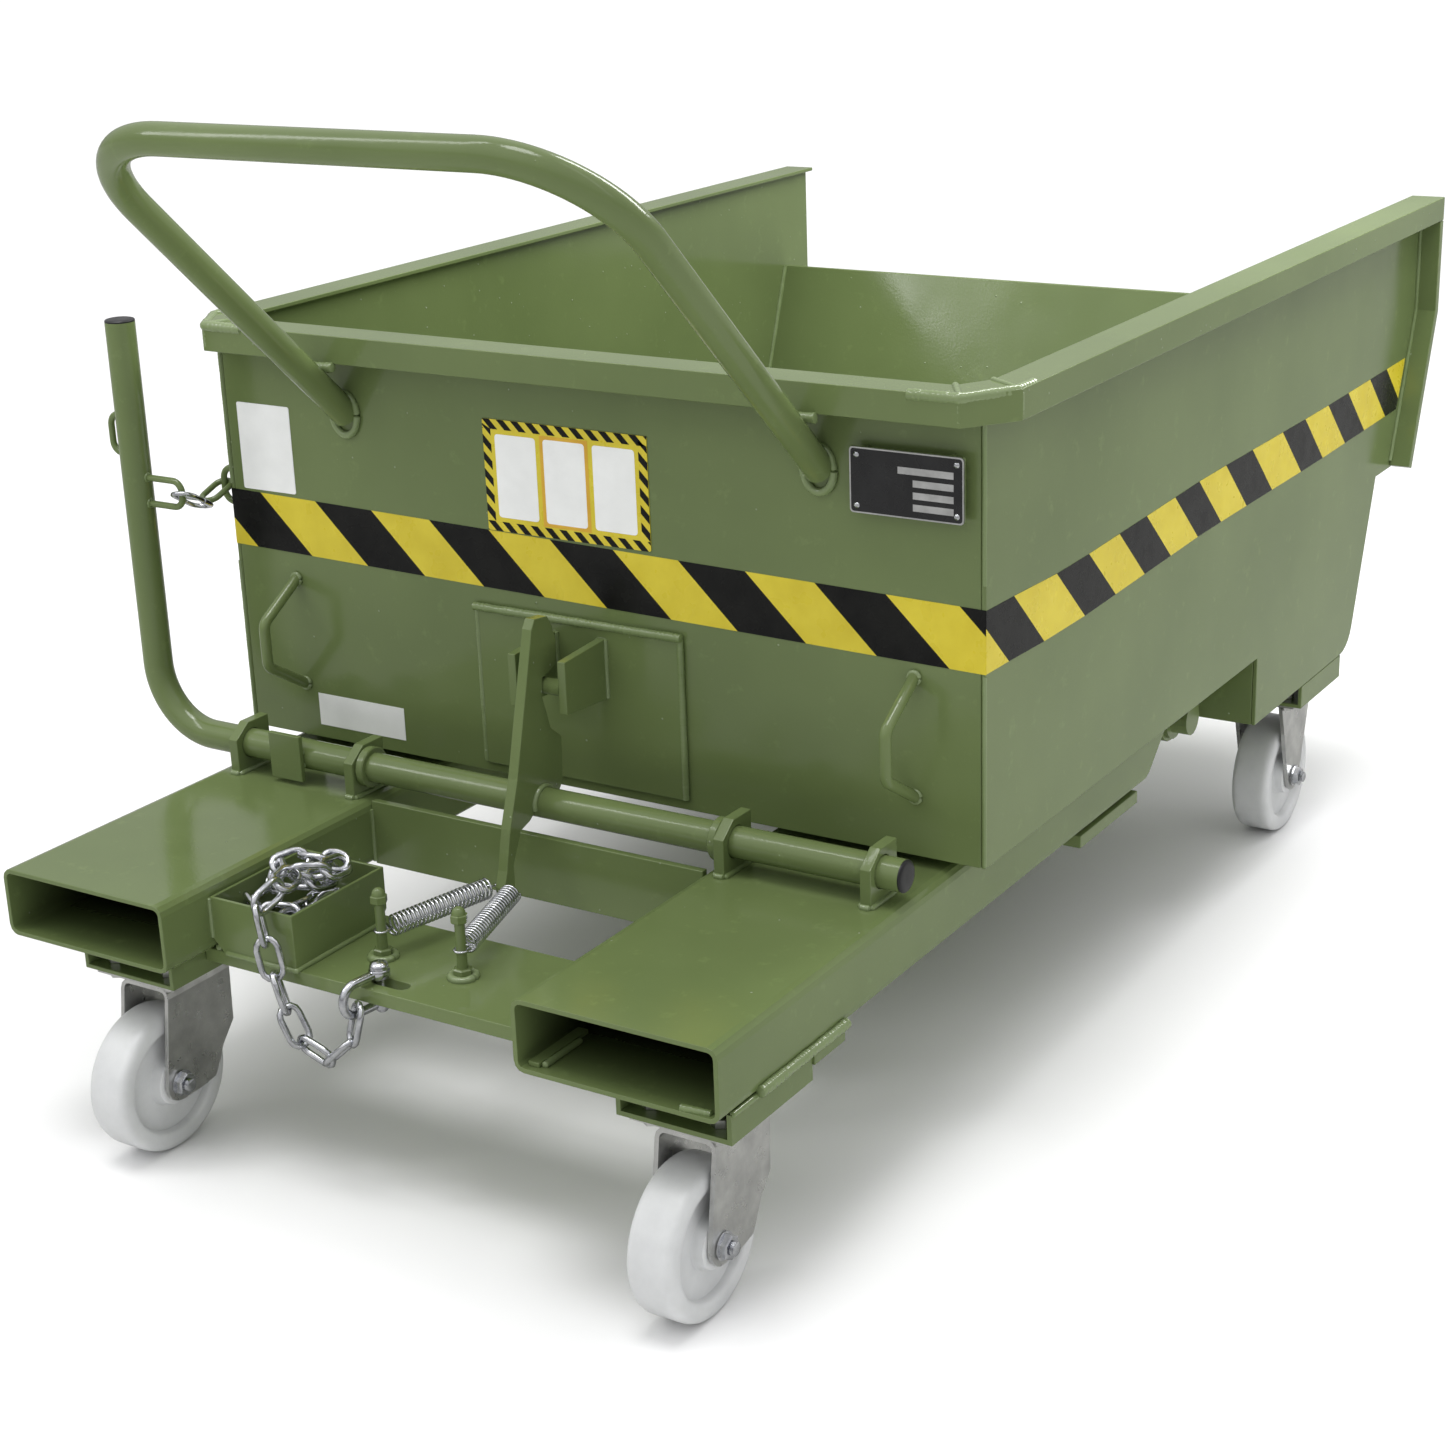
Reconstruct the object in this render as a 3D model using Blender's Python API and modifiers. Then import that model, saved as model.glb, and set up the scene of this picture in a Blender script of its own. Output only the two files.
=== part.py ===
"""A forklift tipping skip on castors: a base with fork pockets and a hopper that tips over its rear.

Working frame while modelling: X = 0 midway between the pockets, Y = 0 at the pocket mouths,
Z = 0 on the ground, -Y towards the operator. The last step moves everything together, so that the
origin is on the ground in the middle of the skip's footprint.
"""
import math

import bmesh
import bpy
from mathutils import Matrix, Vector

# Clearances
GAP = 0.0003
RUNNING = 0.0004
OVERRUN = 0.010
MERGE = 0.00002

# Facets of round pieces
ROUND_COUNT = 20
WHEEL_COUNT = 20
ARC_COUNT = 5
TUBE_RESOLUTION = 4
WIRE_RESOLUTION = 2
FORM_RESOLUTION = 1
PIN_COUNT = 16
BOLT_COUNT = 8
SHARP_DEG = 35

# Castors
WHEEL_RADIUS = 0.0625
WHEEL_WIDTH = 0.040
WHEEL_ROUNDING = 0.006
WHEEL_HUB_RADIUS = 0.020
WHEEL_HUB_WIDTH = 0.044
WHEEL_RIM_RADIUS = 0.046
WHEEL_WEB = 0.024
WHEEL_BORE = 0.0100
CASTOR_HEIGHT = 0.160
CASTOR_TRAIL = 0.038
CASTOR_PLATE = 0.004
CASTOR_PLATE_WIDTH = 0.084
CASTOR_PLATE_LENGTH = 0.104
CASTOR_HOLE_X = 0.060
CASTOR_HOLE_Y = 0.080
FORK_SHEET = 0.004
FORK_CLEAR = 0.001
FORK_TOP = 0.150
FORK_BEND = 0.009
FORK_FRONT = 0.035
FORK_REAR = 0.108
FORK_TOE_RADIUS = 0.016
FORK_HEEL_REACH = 0.042
FORK_HEEL_DROP = 0.012
RACE_RADIUS = 0.024
KINGPIN_RADIUS = 0.007
KINGPIN_HEAD_RADIUS = 0.012
KINGPIN_HEAD = 0.006
AXLE_RADIUS = 0.006
AXLE_BUSH_RADIUS = 0.0094
AXLE_HEAD_RADIUS = 0.0104
AXLE_HEAD = 0.007
AXLE_END = 0.005
BOLT_RADIUS = 0.004
BOLT_HEAD_RADIUS = 0.0075
BOLT_HEAD = 0.0050
BOLT_NUT = 0.0065

# Mounting channels over the castors
CHANNEL_HEIGHT = 0.025
CHANNEL_SHEET = 0.004
FRONT_CHANNEL_WIDTH = 0.100
FRONT_CHANNEL_START = 0.018
FRONT_CHANNEL_LENGTH = 0.115
FRONT_CASTOR_LEFT = -0.238
FRONT_CASTOR_RIGHT = 0.302
FRONT_CASTOR_Y = 0.075
REAR_CHANNEL_WIDTH = 0.105
REAR_CHANNEL_START = 1.084
REAR_CHANNEL_LENGTH = 0.118

# Fork pockets and the plates across the base
POCKET_BOTTOM = CASTOR_HEIGHT + CHANNEL_HEIGHT
POCKET_INNER = 0.174
POCKET_WIDTH = 0.180
POCKET_HEIGHT = 0.060
POCKET_WALL = 0.004
POCKET_ROUNDING = 0.009
POCKET_LENGTH = 0.820
POCKET_UNDERCUT = 0.068
CROSS_PLATE = 0.012
FRONT_PLATE_START = 0.058
FRONT_PLATE_END = 0.180
FRONT_SLOT_X = -0.0040
FRONT_SLOT_Y = 0.076
FRONT_SLOT_LENGTH = 0.036
FRONT_SLOT_WIDTH = 0.013
REAR_PLATE_START = 0.608
REAR_PLATE_END = 0.735
UPRIGHT_PLATE_Y = 0.265
UPRIGHT_PLATE = 0.007
REST_START = 0.400
REST_WIDTH = 0.040

# Chain box and spring posts
BOX_LEFT = -0.1735
BOX_RIGHT = -0.085
BOX_START = 0.055
BOX_END = 0.172
BOX_HEIGHT = 0.049
BOX_SHEET = 0.003
BOX_CORNER_CUT = 0.011
POST_X = 0.041
POST_Y = 0.112
POST_RADIUS = 0.0043
POST_HEIGHT = 0.061
POST_HEAD_RADIUS = 0.0068
POST_HEAD = 0.011
POST_FOOT_RADIUS = 0.0085
POST_FOOT = 0.008

# Latch shaft and its lever
SHAFT_RADIUS = 0.0135
SHAFT_Y = 0.281
SHAFT_Z = 0.270
SHAFT_END_X = 0.352
LEVER_X = -0.432
LEVER_TOP = 0.650
LEVER_BEND = 0.062
BRACKET_X = (0.193, 0.328)
BRACKET_THICK = 0.010
BRACKET_START = 0.260
BRACKET_END = 0.304
BRACKET_SHOULDER = 0.033
BRACKET_TOP = 0.0458
BRACKET_CHAMFER = 0.017
COLLAR_RADIUS = 0.0185
COLLAR_WIDTH = 0.008
CAP_THICK = 0.003
CAP_LIP_SHARE = 0.94
STOP_LEFT = -0.286
STOP_WIDTH = 0.036
STOP_THICK = 0.005
STOP_LOW = 0.2495
STOP_HIGH = 0.2925
LOOP_WIRE = 0.003
LEFT_LOOP_REACH = 0.012
LEFT_LOOP_Z = 0.547
LEFT_LOOP_HALF = 0.018
RIGHT_LOOP_REACH = 0.040
RIGHT_LOOP_Z = 0.497
RIGHT_LOOP_HALF = 0.012

# Latch plate, outline as (Y, Z) places read round its edge
LATCH_THICK = 0.010
LATCH_TIP_Y = 0.2265
LATCH_TIP_Z = 0.2115
LATCH_TIP_RADIUS = 0.0075
LATCH_HOLE_RADIUS = 0.0019
LATCH_FRONT = ((0.2240, 0.2270), (0.2320, 0.2620), (0.2460, 0.3020), (0.2780, 0.4240))
LATCH_HEAD = ((0.2830, 0.4320), (0.3010, 0.4300), (0.3070, 0.4200), (0.3115, 0.4060), (0.3090, 0.3840))
LATCH_THROAT = ((0.2890, 0.3785), (0.2880, 0.3620), (0.2970, 0.3320), (0.3115, 0.3200))
LATCH_BACK = ((0.3100, 0.2800), (0.3000, 0.2680))
LATCH_STEM = ((0.2600, 0.2600), (0.2470, 0.2560), (0.2340, 0.2300))

# Springs
SPRING_WIRE = 0.0011
SPRING_RADIUS = 0.0056
SPRING_CURLS = 18
SPRING_POINTS_PER_CURL = 8
SPRING_HOOK_HEIGHT = 0.024
SPRING_LEAD = 0.009
SPRING_TAIL = 0.010

# Hopper
SHEET = 0.004
HOPPER_HALF = 0.3865
HOPPER_FRONT = 0.353
HOPPER_FLOOR = 0.255
HOPPER_TOP = 0.6436
HOPPER_END = 1.405
STEP_Y = 0.950
DEEP_FLOOR = 0.185
DUMP_BEND_Y = 1.202
DUMP_BEND_RADIUS = 0.035
DUMP_SLOPE_DEG = 69.9
DUMP_LIP_Z = 0.532
CHEEK_Z = 0.360
CHEEK_END_Y = 1.342
CHEEK_KNEE_Z = 0.521
RIM_WIDTH = 0.036
RIM_OVERHANG = 0.0225
RIM_FRONT = 0.3265
RIM_HEIGHT = 0.0246
RIM_SHEET = 0.004
RIM_CORNER_CUT = 0.031
RIM_CORNER_Y = 0.369
RIM_CORNER_INNER_SHARE = 0.62
FLANGE_THICK = 0.010

# Hopper fittings
HANDLE_RADIUS = 0.0132
HANDLE_HALF = 0.241
HANDLE_Y = 0.060
HANDLE_Z = 0.845
HANDLE_FOOT_Z = 0.569
HANDLE_BEND = 0.095
HANDLE_BEND_COUNT = 9
GRAB_RADIUS = 0.004
GRAB_STAND = 0.050
GRAB_LEFT_X = -0.316
GRAB_RIGHT_X = 0.324
GRAB_TOP_Z = 0.409
GRAB_BOTTOM_Z = 0.306
GRAB_BEND = 0.010
GRAB_SLANT_SHARE = 0.30
BACKING_LEFT = -0.106
BACKING_RIGHT = 0.103
BACKING_LOW = 0.265
BACKING_HIGH = 0.409
BACKING_THICK = 0.004
KEEPER_X = 0.0255
KEEPER_THICK = 0.008
KEEPER_FRONT = 0.288
KEEPER_LOW = 0.3455
KEEPER_HIGH = 0.4000
KEEPER_TAPER = 0.004
PIN_RADIUS = 0.0072
PIN_Y = 0.2965
PIN_Z = 0.3700
PLATE_PAST_HANDLE = 0.0335
PLATE_LENGTH = 0.099
PLATE_LOW = 0.5405
PLATE_HIGH = 0.5930
PLATE_THICK = 0.0015
PLATE_STAND = 0.010
RIVET_RADIUS = 0.0026
RIVET_HEAD = 0.0016
RIVET_INSET = 0.006
WALL_LOOP_Y = 0.3570
WALL_LOOP_Z = 0.4880
WALL_LOOP_REACH = 0.012
WALL_LOOP_HALF = 0.016
WALL_LINK_LENGTH = 0.034
WALL_LINK_DROP_DEG = 20
SNAP_WIRE = 0.0022
SNAP_LENGTH = 0.058
SNAP_HALF_WIDTH = 0.0098
SNAP_AHEAD = (-0.020, 0.052, -0.027)

# Pivot between the base and the hopper
PIVOT_Y = 0.877
PIVOT_Z = 0.210
PIVOT_RADIUS = 0.0165
PIVOT_HALF = 0.350
PIVOT_EAR_X = 0.162
PIVOT_EAR_THICK = 0.0117
PIVOT_EAR_START = 0.640
PIVOT_EAR_LOW = 0.192
PIVOT_EAR_HIGH = 0.240
PIVOT_EYE = 0.010
HOOK_X = 0.318
HOOK_THICK = 0.010
HOOK_TOE_RADIUS = 0.026
PIVOT_WASHER_RADIUS = 0.023
PIVOT_WASHER = 0.004

# Chain and shackle: for each hanging link its angle above +X, its lean back, and the way its flat side faces
CHAIN_WIRE = 0.00275
CHAIN_PITCH = 0.0295
CHAIN_HALF_WIDTH = 0.0088
CHAIN_BITE = 0.0013
WIRE_FLAT_SHARE = 0.134
CHAIN_POINTS = 8
CHAIN_START = (-0.1074, 0.0405, 0.2435)
CHAIN_HANGING = (
    (-79.2, 0, (0.79, 0.51, 0)), (-77.7, 0, (0.51, -0.79, 0)), (-70.7, 0, (0.79, 0.51, 0)),
    (-62.1, 0, (1, -0.3, 0)), (-18.7, 0, (0.2, 1, 0.3)), (43.7, 9.4, (-0.68, 0, 0.71)),
    (80.0, 9.9, (0.55, 0.83, 0)),
)
CHAIN_OVER_EDGE = ((0, -0.96, -0.27), (0.9, -0.3, 0))
CHAIN_TO_HEAP = ((-0.1, -0.9, 0.42), (0, 0, 1))
HEAP_UPRIGHT = (
    ((-0.127, 0.090), (-0.129, 0.138)),
    ((-0.136, 0.090), (-0.120, 0.091), (-0.135, 0.138), (-0.121, 0.137)),
)
HEAP_UPRIGHT_TURN_DEG = (4, 88)
HEAP_FLAT = (((-0.128, 0.096), (-0.128, 0.131)), ((-0.117, 0.107),))
HEAP_FLAT_TURNS_DEG = ((15, -20), (78,))
SHACKLE_WIRE = 0.0038
SHACKLE_PIN_RADIUS = 0.0045
SHACKLE_EYE = 0.0085
SHACKLE_X = -0.0154
SHACKLE_HALF_HEIGHT = 0.0131
SHACKLE_BOW_TURN_DEG = 8
SHACKLE_BOW_REACH = 0.040
SHACKLE_HEAD_RADIUS = 0.0080
SHACKLE_HEAD = 0.0060

# Values that follow from the ones above
POCKET_TOP = POCKET_BOTTOM + POCKET_HEIGHT
POCKET_OUTER = POCKET_INNER + POCKET_WIDTH
POCKET_MIDDLE = POCKET_INNER + POCKET_WIDTH / 2
FORK_INNER = WHEEL_HUB_WIDTH / 2 + FORK_CLEAR
FORK_OUTER = FORK_INNER + FORK_SHEET
FRONT_AXLE_Y = FRONT_CASTOR_Y - CASTOR_TRAIL
REAR_AXLE_Y = REAR_CHANNEL_START + REAR_CHANNEL_LENGTH / 2
REAR_CASTOR_X = HOPPER_HALF - REAR_CHANNEL_WIDTH / 2
HOPPER_INSIDE = HOPPER_HALF - SHEET
SHEET_TOP = HOPPER_TOP - RIM_SHEET - GAP
RIM_BOTTOM = HOPPER_TOP - RIM_HEIGHT
RIM_OUTER = HOPPER_HALF + RIM_OVERHANG
RIM_CORNER_X = RIM_OUTER - RIM_CORNER_CUT
PLATE_LEFT = HANDLE_HALF + PLATE_PAST_HANDLE
PLATE_RIGHT = PLATE_LEFT + PLATE_LENGTH

PAINT = ((0.150, 0.190, 0.085, 1.0), 0.32, 0.0)
ZINC = ((0.62, 0.63, 0.65, 1.0), 0.30, 1.0)
NYLON = ((0.80, 0.80, 0.78, 1.0), 0.40, 0.0)
PLASTIC = ((0.012, 0.012, 0.013, 1.0), 0.45, 0.0)
PLATE = ((0.015, 0.015, 0.015, 1.0), 0.35, 0.2)

PLANES = {
    "XY": Matrix.Identity(4),
    "XZ": Matrix.Rotation(math.radians(90), 4, "X"),
    "YZ": Matrix(((0, 0, 1, 0), (1, 0, 0, 0), (0, 1, 0, 0), (0, 0, 0, 1))),
}
NORMALS = {"XY": Vector((0, 0, 1)), "XZ": Vector((0, 1, 0)), "YZ": Vector((1, 0, 0))}
AXES = {
    "X": Matrix.Rotation(math.radians(90), 4, "Y"),
    "Y": Matrix.Rotation(math.radians(-90), 4, "X"),
    "Z": Matrix.Identity(4),
}

for old in list(bpy.data.objects):
    bpy.data.objects.remove(old, do_unlink=True)

parts = bpy.data.collections.new("tipping_skip")
cutters = bpy.data.collections.new("cutters")
bpy.context.scene.collection.children.link(parts)
bpy.context.scene.collection.children.link(cutters)


# Outlines and paths

def arc(centre, radius, start_deg, end_deg, steps):
    """Points along a round stretch of an outline, both ends included."""
    angles = [math.radians(start_deg + (end_deg - start_deg) * i / steps) for i in range(steps + 1)]
    return [(centre[0] + radius * math.cos(a), centre[1] + radius * math.sin(a)) for a in angles]


def circle(centre, radius, count=ROUND_COUNT):
    """A closed round outline."""
    return arc(centre, radius, 0, 360, count)[:-1]


def rectangle(u0, v0, u1, v1):
    """A closed rectangular outline."""
    return [(u0, v0), (u1, v0), (u1, v1), (u0, v1)]


def bent(points, radius, steps=ARC_COUNT, closed=False):
    """The same path with each inner corner turned into a round bend."""
    points = [Vector(p) for p in points]
    count = len(points)
    path = []
    for i, corner in enumerate(points):
        if not closed and i in (0, count - 1):
            path.append(corner)
            continue
        back = (points[i - 1] - corner).normalized()
        ahead = (points[(i + 1) % count] - corner).normalized()
        half = back.angle(ahead) / 2
        middle = (back + ahead).normalized()
        centre = corner + middle * (radius / math.sin(half))
        first = corner + back * (radius / math.tan(half)) - centre
        last = corner + ahead * (radius / math.tan(half)) - centre
        sweep = math.pi - 2 * half
        for step in range(steps + 1):
            share = step / steps
            weight_a = math.sin((1 - share) * sweep) / math.sin(sweep)
            weight_b = math.sin(share * sweep) / math.sin(sweep)
            path.append(centre + first * weight_a + last * weight_b)
    return path


def rounded(points, radius, steps=3):
    """A closed outline with round corners."""
    return [(p[0], p[1]) for p in bent([(u, v, 0) for u, v in points], radius, steps, closed=True)]


# Solids

def slab(plane, low, high, *outlines):
    """A flat plate between two places along the plane's normal; inner outlines are holes."""
    curve = bpy.data.curves.new("outline", "CURVE")
    curve.dimensions = "2D"
    curve.fill_mode = "BOTH"
    curve.extrude = (high - low) / 2
    for outline in outlines:
        spline = curve.splines.new("POLY")
        spline.points.add(len(outline) - 1)
        for point, (u, v) in zip(spline.points, outline):
            point.co = (u, v, 0, 1)
        spline.use_cyclic_u = True
    piece = bpy.data.objects.new("plate", curve)
    parts.objects.link(piece)
    piece.matrix_world = Matrix.Translation(NORMALS[plane] * ((low + high) / 2)) @ PLANES[plane]
    return piece


def tube(path, radius, resolution=TUBE_RESOLUTION, closed=False):
    """A round bar along a path."""
    curve = bpy.data.curves.new("bar", "CURVE")
    curve.dimensions = "3D"
    curve.bevel_depth = radius
    curve.bevel_resolution = resolution
    curve.use_fill_caps = not closed
    spline = curve.splines.new("POLY")
    spline.points.add(len(path) - 1)
    for point, place in zip(spline.points, path):
        point.co = (*place, 1)
    spline.use_cyclic_u = closed
    piece = bpy.data.objects.new("bar", curve)
    parts.objects.link(piece)
    return piece


def turned(profile, at, axis, count=ROUND_COUNT, closed=True):
    """A turned piece: (radius, height) down its outer side, spun about an axis through `at`."""
    mesh = bpy.data.meshes.new("turned")
    corners = [(radius, 0, height) for radius, height in profile]
    edges = [(i, i + 1) for i in range(len(corners) - 1)]
    if closed:
        edges.append((len(corners) - 1, 0))
    mesh.from_pydata(corners, edges, [])
    piece = bpy.data.objects.new("turned", mesh)
    parts.objects.link(piece)
    spin = piece.modifiers.new("spin", "SCREW")
    spin.axis = "Z"
    spin.steps = count
    spin.render_steps = count
    spin.use_merge_vertices = True
    spin.merge_threshold = MERGE
    spin.use_smooth_shade = True
    half_facet = Matrix.Rotation(math.pi / count, 4, "Z")
    piece.matrix_world = Matrix.Translation(at) @ AXES[axis] @ half_facet
    return piece


def disc(radius, low, high):
    """The turned profile of a plain cylinder between two heights."""
    return [(0, high), (radius, high), (radius, low), (0, low)]


def hexagon(at, axis, radius, low, high):
    """A hexagonal nut or bolt head."""
    return turned(disc(radius, low, high), at, axis, count=6, closed=False)


def baked(pieces):
    """One mesh object holding the finished shapes of the given pieces, which are removed."""
    bpy.context.view_layer.update()
    depsgraph = bpy.context.evaluated_depsgraph_get()
    whole = bmesh.new()
    for piece in pieces:
        mesh = bpy.data.meshes.new_from_object(piece.evaluated_get(depsgraph), depsgraph=depsgraph)
        mesh.transform(piece.matrix_world)
        single = bmesh.new()
        single.from_mesh(mesh)
        bmesh.ops.remove_doubles(single, verts=single.verts, dist=MERGE)
        single.to_mesh(mesh)
        single.free()
        whole.from_mesh(mesh)
        bpy.data.meshes.remove(mesh)
    result = bpy.data.meshes.new("baked")
    whole.to_mesh(result)
    whole.free()
    for piece in pieces:
        for tool in [modifier.object for modifier in piece.modifiers if modifier.type == "BOOLEAN"]:
            bpy.data.objects.remove(tool, do_unlink=True)
        bpy.data.objects.remove(piece, do_unlink=True)
    joined = bpy.data.objects.new("baked", result)
    parts.objects.link(joined)
    return joined


def combine(piece, tools, operation):
    """Cut, join or keep the common part of a piece and its tools with exact Booleans."""
    result = piece if piece.type == "MESH" else baked([piece])
    for tool in tools:
        solid = tool if tool.type == "MESH" else baked([tool])
        parts.objects.unlink(solid)
        cutters.objects.link(solid)
        solid.hide_render = True
        solid.display_type = "WIRE"
        boolean = result.modifiers.new("boolean", "BOOLEAN")
        boolean.operation = operation
        boolean.object = solid
    return result


def drilled(piece, *tools):
    """A piece with its holes and cuts."""
    return combine(piece, tools, "DIFFERENCE")


def drill(at, axis, radius, low, high, count=ROUND_COUNT):
    """The cutter of a round hole between two places along its axis."""
    return turned(disc(radius, low - OVERRUN, high + OVERRUN), at, axis, count, closed=False)


# Bodies: one empty on each joint axis, and the pieces that move with it

bodies = {}


def body(name, at, carrier=None):
    """An empty on a body's joint axis, carried by another body's empty."""
    empty = bpy.data.objects.new(name, None)
    bpy.context.scene.collection.objects.link(empty)
    place = Vector(at)
    if carrier:
        parent, parent_place = bodies[carrier]
        empty.parent = parent
        place = place - parent_place
    empty.location = place
    bodies[name] = (empty, Vector(at))


def fit(name, look, carrier, piece):
    """Name a finished piece, give it its own material and hang it on its body."""
    colour, roughness, metallic = look
    material = bpy.data.materials.new(name)
    material.use_nodes = True
    shader = material.node_tree.nodes["Principled BSDF"]
    shader.inputs["Base Color"].default_value = colour
    shader.inputs["Roughness"].default_value = roughness
    shader.inputs["Metallic"].default_value = metallic
    piece.data.materials.clear()
    piece.data.materials.append(material)
    piece.name = name
    piece.data.name = name
    parent, parent_place = bodies[carrier]
    tools = [modifier.object for modifier in piece.modifiers if modifier.type == "BOOLEAN"]
    for item in [piece] + tools:
        item.parent = parent
        item.matrix_parent_inverse = Matrix.Translation(-parent_place)
    return piece


body("base", (0, 0, 0))
body("hopper", (0, PIVOT_Y, PIVOT_Z), "base")
body("latch", (0, SHAFT_Y, SHAFT_Z), "base")


# Fork pockets

def fork_pocket(side):
    """A fork pocket: a rectangular tube with round corners and an undercut rear end."""
    left = POCKET_INNER if side > 0 else -POCKET_OUTER
    right = left + POCKET_WIDTH
    outer = rounded(rectangle(left, POCKET_BOTTOM, right, POCKET_TOP), POCKET_ROUNDING)
    inner = rounded(
        rectangle(
            left + POCKET_WALL, POCKET_BOTTOM + POCKET_WALL, right - POCKET_WALL, POCKET_TOP - POCKET_WALL),
        POCKET_ROUNDING - POCKET_WALL,
    )
    pocket = slab("XZ", 0, POCKET_LENGTH, outer, inner)
    rise = POCKET_HEIGHT + 2 * OVERRUN
    run = POCKET_UNDERCUT * rise / POCKET_HEIGHT
    toe = POCKET_LENGTH - POCKET_UNDERCUT - POCKET_UNDERCUT * OVERRUN / POCKET_HEIGHT
    wedge = slab(
        "YZ", left - OVERRUN, right + OVERRUN,
        [
            (toe, POCKET_BOTTOM - OVERRUN),
            (toe + 2 * run, POCKET_BOTTOM - OVERRUN),
            (toe + 2 * run, POCKET_TOP + OVERRUN),
            (toe + run, POCKET_TOP + OVERRUN),
        ],
    )
    return drilled(pocket, wedge)


fit("fork_pocket_left", PAINT, "base", fork_pocket(-1))
fit("fork_pocket_right", PAINT, "base", fork_pocket(1))


# Plates across the base

def front_cross_plate():
    """The plate under the pocket mouths: cut back round the channels, with the chain's slot."""
    plate_top = POCKET_BOTTOM - GAP
    half = FRONT_CHANNEL_WIDTH / 2 + GAP
    behind = FRONT_CHANNEL_START + FRONT_CHANNEL_LENGTH + GAP
    outline = [
        (-POCKET_OUTER, behind),
        (FRONT_CASTOR_LEFT + half, behind),
        (FRONT_CASTOR_LEFT + half, FRONT_PLATE_START),
        (FRONT_CASTOR_RIGHT - half, FRONT_PLATE_START),
        (FRONT_CASTOR_RIGHT - half, behind),
        (POCKET_OUTER, behind),
        (POCKET_OUTER, FRONT_PLATE_END),
        (-POCKET_OUTER, FRONT_PLATE_END),
    ]
    radius = FRONT_SLOT_WIDTH / 2
    reach = FRONT_SLOT_LENGTH / 2 - radius
    slot = arc((FRONT_SLOT_X + reach, FRONT_SLOT_Y), radius, -90, 90, ARC_COUNT)
    slot += arc((FRONT_SLOT_X - reach, FRONT_SLOT_Y), radius, 90, 270, ARC_COUNT)
    return slab("XY", plate_top - CROSS_PLATE, plate_top, outline, slot)


fit("front_cross_plate", PAINT, "base", front_cross_plate())
fit("rear_cross_plate", PAINT, "base", slab(
    "XY", POCKET_BOTTOM - GAP - CROSS_PLATE, POCKET_BOTTOM - GAP,
    rectangle(-POCKET_OUTER, REAR_PLATE_START, POCKET_OUTER, REAR_PLATE_END),
))
fit("upright_cross_plate", PAINT, "base", slab(
    "XZ", UPRIGHT_PLATE_Y, UPRIGHT_PLATE_Y + UPRIGHT_PLATE,
    rectangle(-POCKET_INNER + GAP, POCKET_BOTTOM, POCKET_INNER - GAP, POCKET_TOP),
))


fit("rest_bar", PAINT, "base", slab(
    "XY", POCKET_TOP + GAP, HOPPER_FLOOR - GAP,
    rectangle(-POCKET_OUTER, REST_START, POCKET_OUTER, REST_START + REST_WIDTH),
))


# Mounting channels

def castor_bolt_places(x, y):
    """The four bolt places of a castor plate centred at (x, y)."""
    half_x = CASTOR_HOLE_X / 2
    half_y = CASTOR_HOLE_Y / 2
    return [(x + u * half_x, y + v * half_y) for u, v in ((-1, -1), (1, -1), (1, 1), (-1, 1))]


def bolt_drills(x, y, low, high):
    """Cutters for the bolt holes of one castor."""
    return [
        drill((bx, by, 0), "Z", BOLT_RADIUS + RUNNING, low, high, BOLT_COUNT)
        for bx, by in castor_bolt_places(x, y)
    ]


def castor_bolts(x, y):
    """Four hexagon bolts up through a castor's plate and the channel's web, with their nuts."""
    low = CASTOR_HEIGHT - CASTOR_PLATE
    high = CASTOR_HEIGHT + CHANNEL_SHEET + 2 * GAP
    pieces = []
    for bx, by in castor_bolt_places(x, y):
        pieces.append(turned(disc(BOLT_RADIUS, low - BOLT_HEAD / 2, high + BOLT_NUT / 2),
                             (bx, by, 0), "Z", BOLT_COUNT, closed=False))
        pieces.append(hexagon((bx, by, 0), "Z", BOLT_HEAD_RADIUS, low - BOLT_HEAD, low + CASTOR_PLATE / 2))
        pieces.append(hexagon((bx, by, 0), "Z", BOLT_HEAD_RADIUS, high, high + BOLT_NUT))
    return pieces


def channel(x, start, length, castor_y, width):
    """A channel open at the top, with its web on the castor's plate."""
    low = CASTOR_HEIGHT + GAP
    high = POCKET_BOTTOM - GAP
    left = x - width / 2
    right = x + width / 2
    outline = [
        (left, high), (left, low), (right, low), (right, high),
        (right - CHANNEL_SHEET, high), (right - CHANNEL_SHEET, low + CHANNEL_SHEET),
        (left + CHANNEL_SHEET, low + CHANNEL_SHEET), (left + CHANNEL_SHEET, high),
    ]
    blank = slab("XZ", start, start + length, outline)
    return drilled(blank, *bolt_drills(x, castor_y, low, low + CHANNEL_SHEET))


for side, x in (("left", FRONT_CASTOR_LEFT), ("right", FRONT_CASTOR_RIGHT)):
    fit("front_channel_" + side, PAINT, "base", channel(
        x, FRONT_CHANNEL_START, FRONT_CHANNEL_LENGTH, FRONT_CASTOR_Y, FRONT_CHANNEL_WIDTH))

for side, x in (("left", -REAR_CASTOR_X), ("right", REAR_CASTOR_X)):
    fit("rear_channel_" + side, PAINT, "hopper", channel(
        x, REAR_CHANNEL_START, REAR_CHANNEL_LENGTH, REAR_AXLE_Y, REAR_CHANNEL_WIDTH))


# Castors

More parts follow.
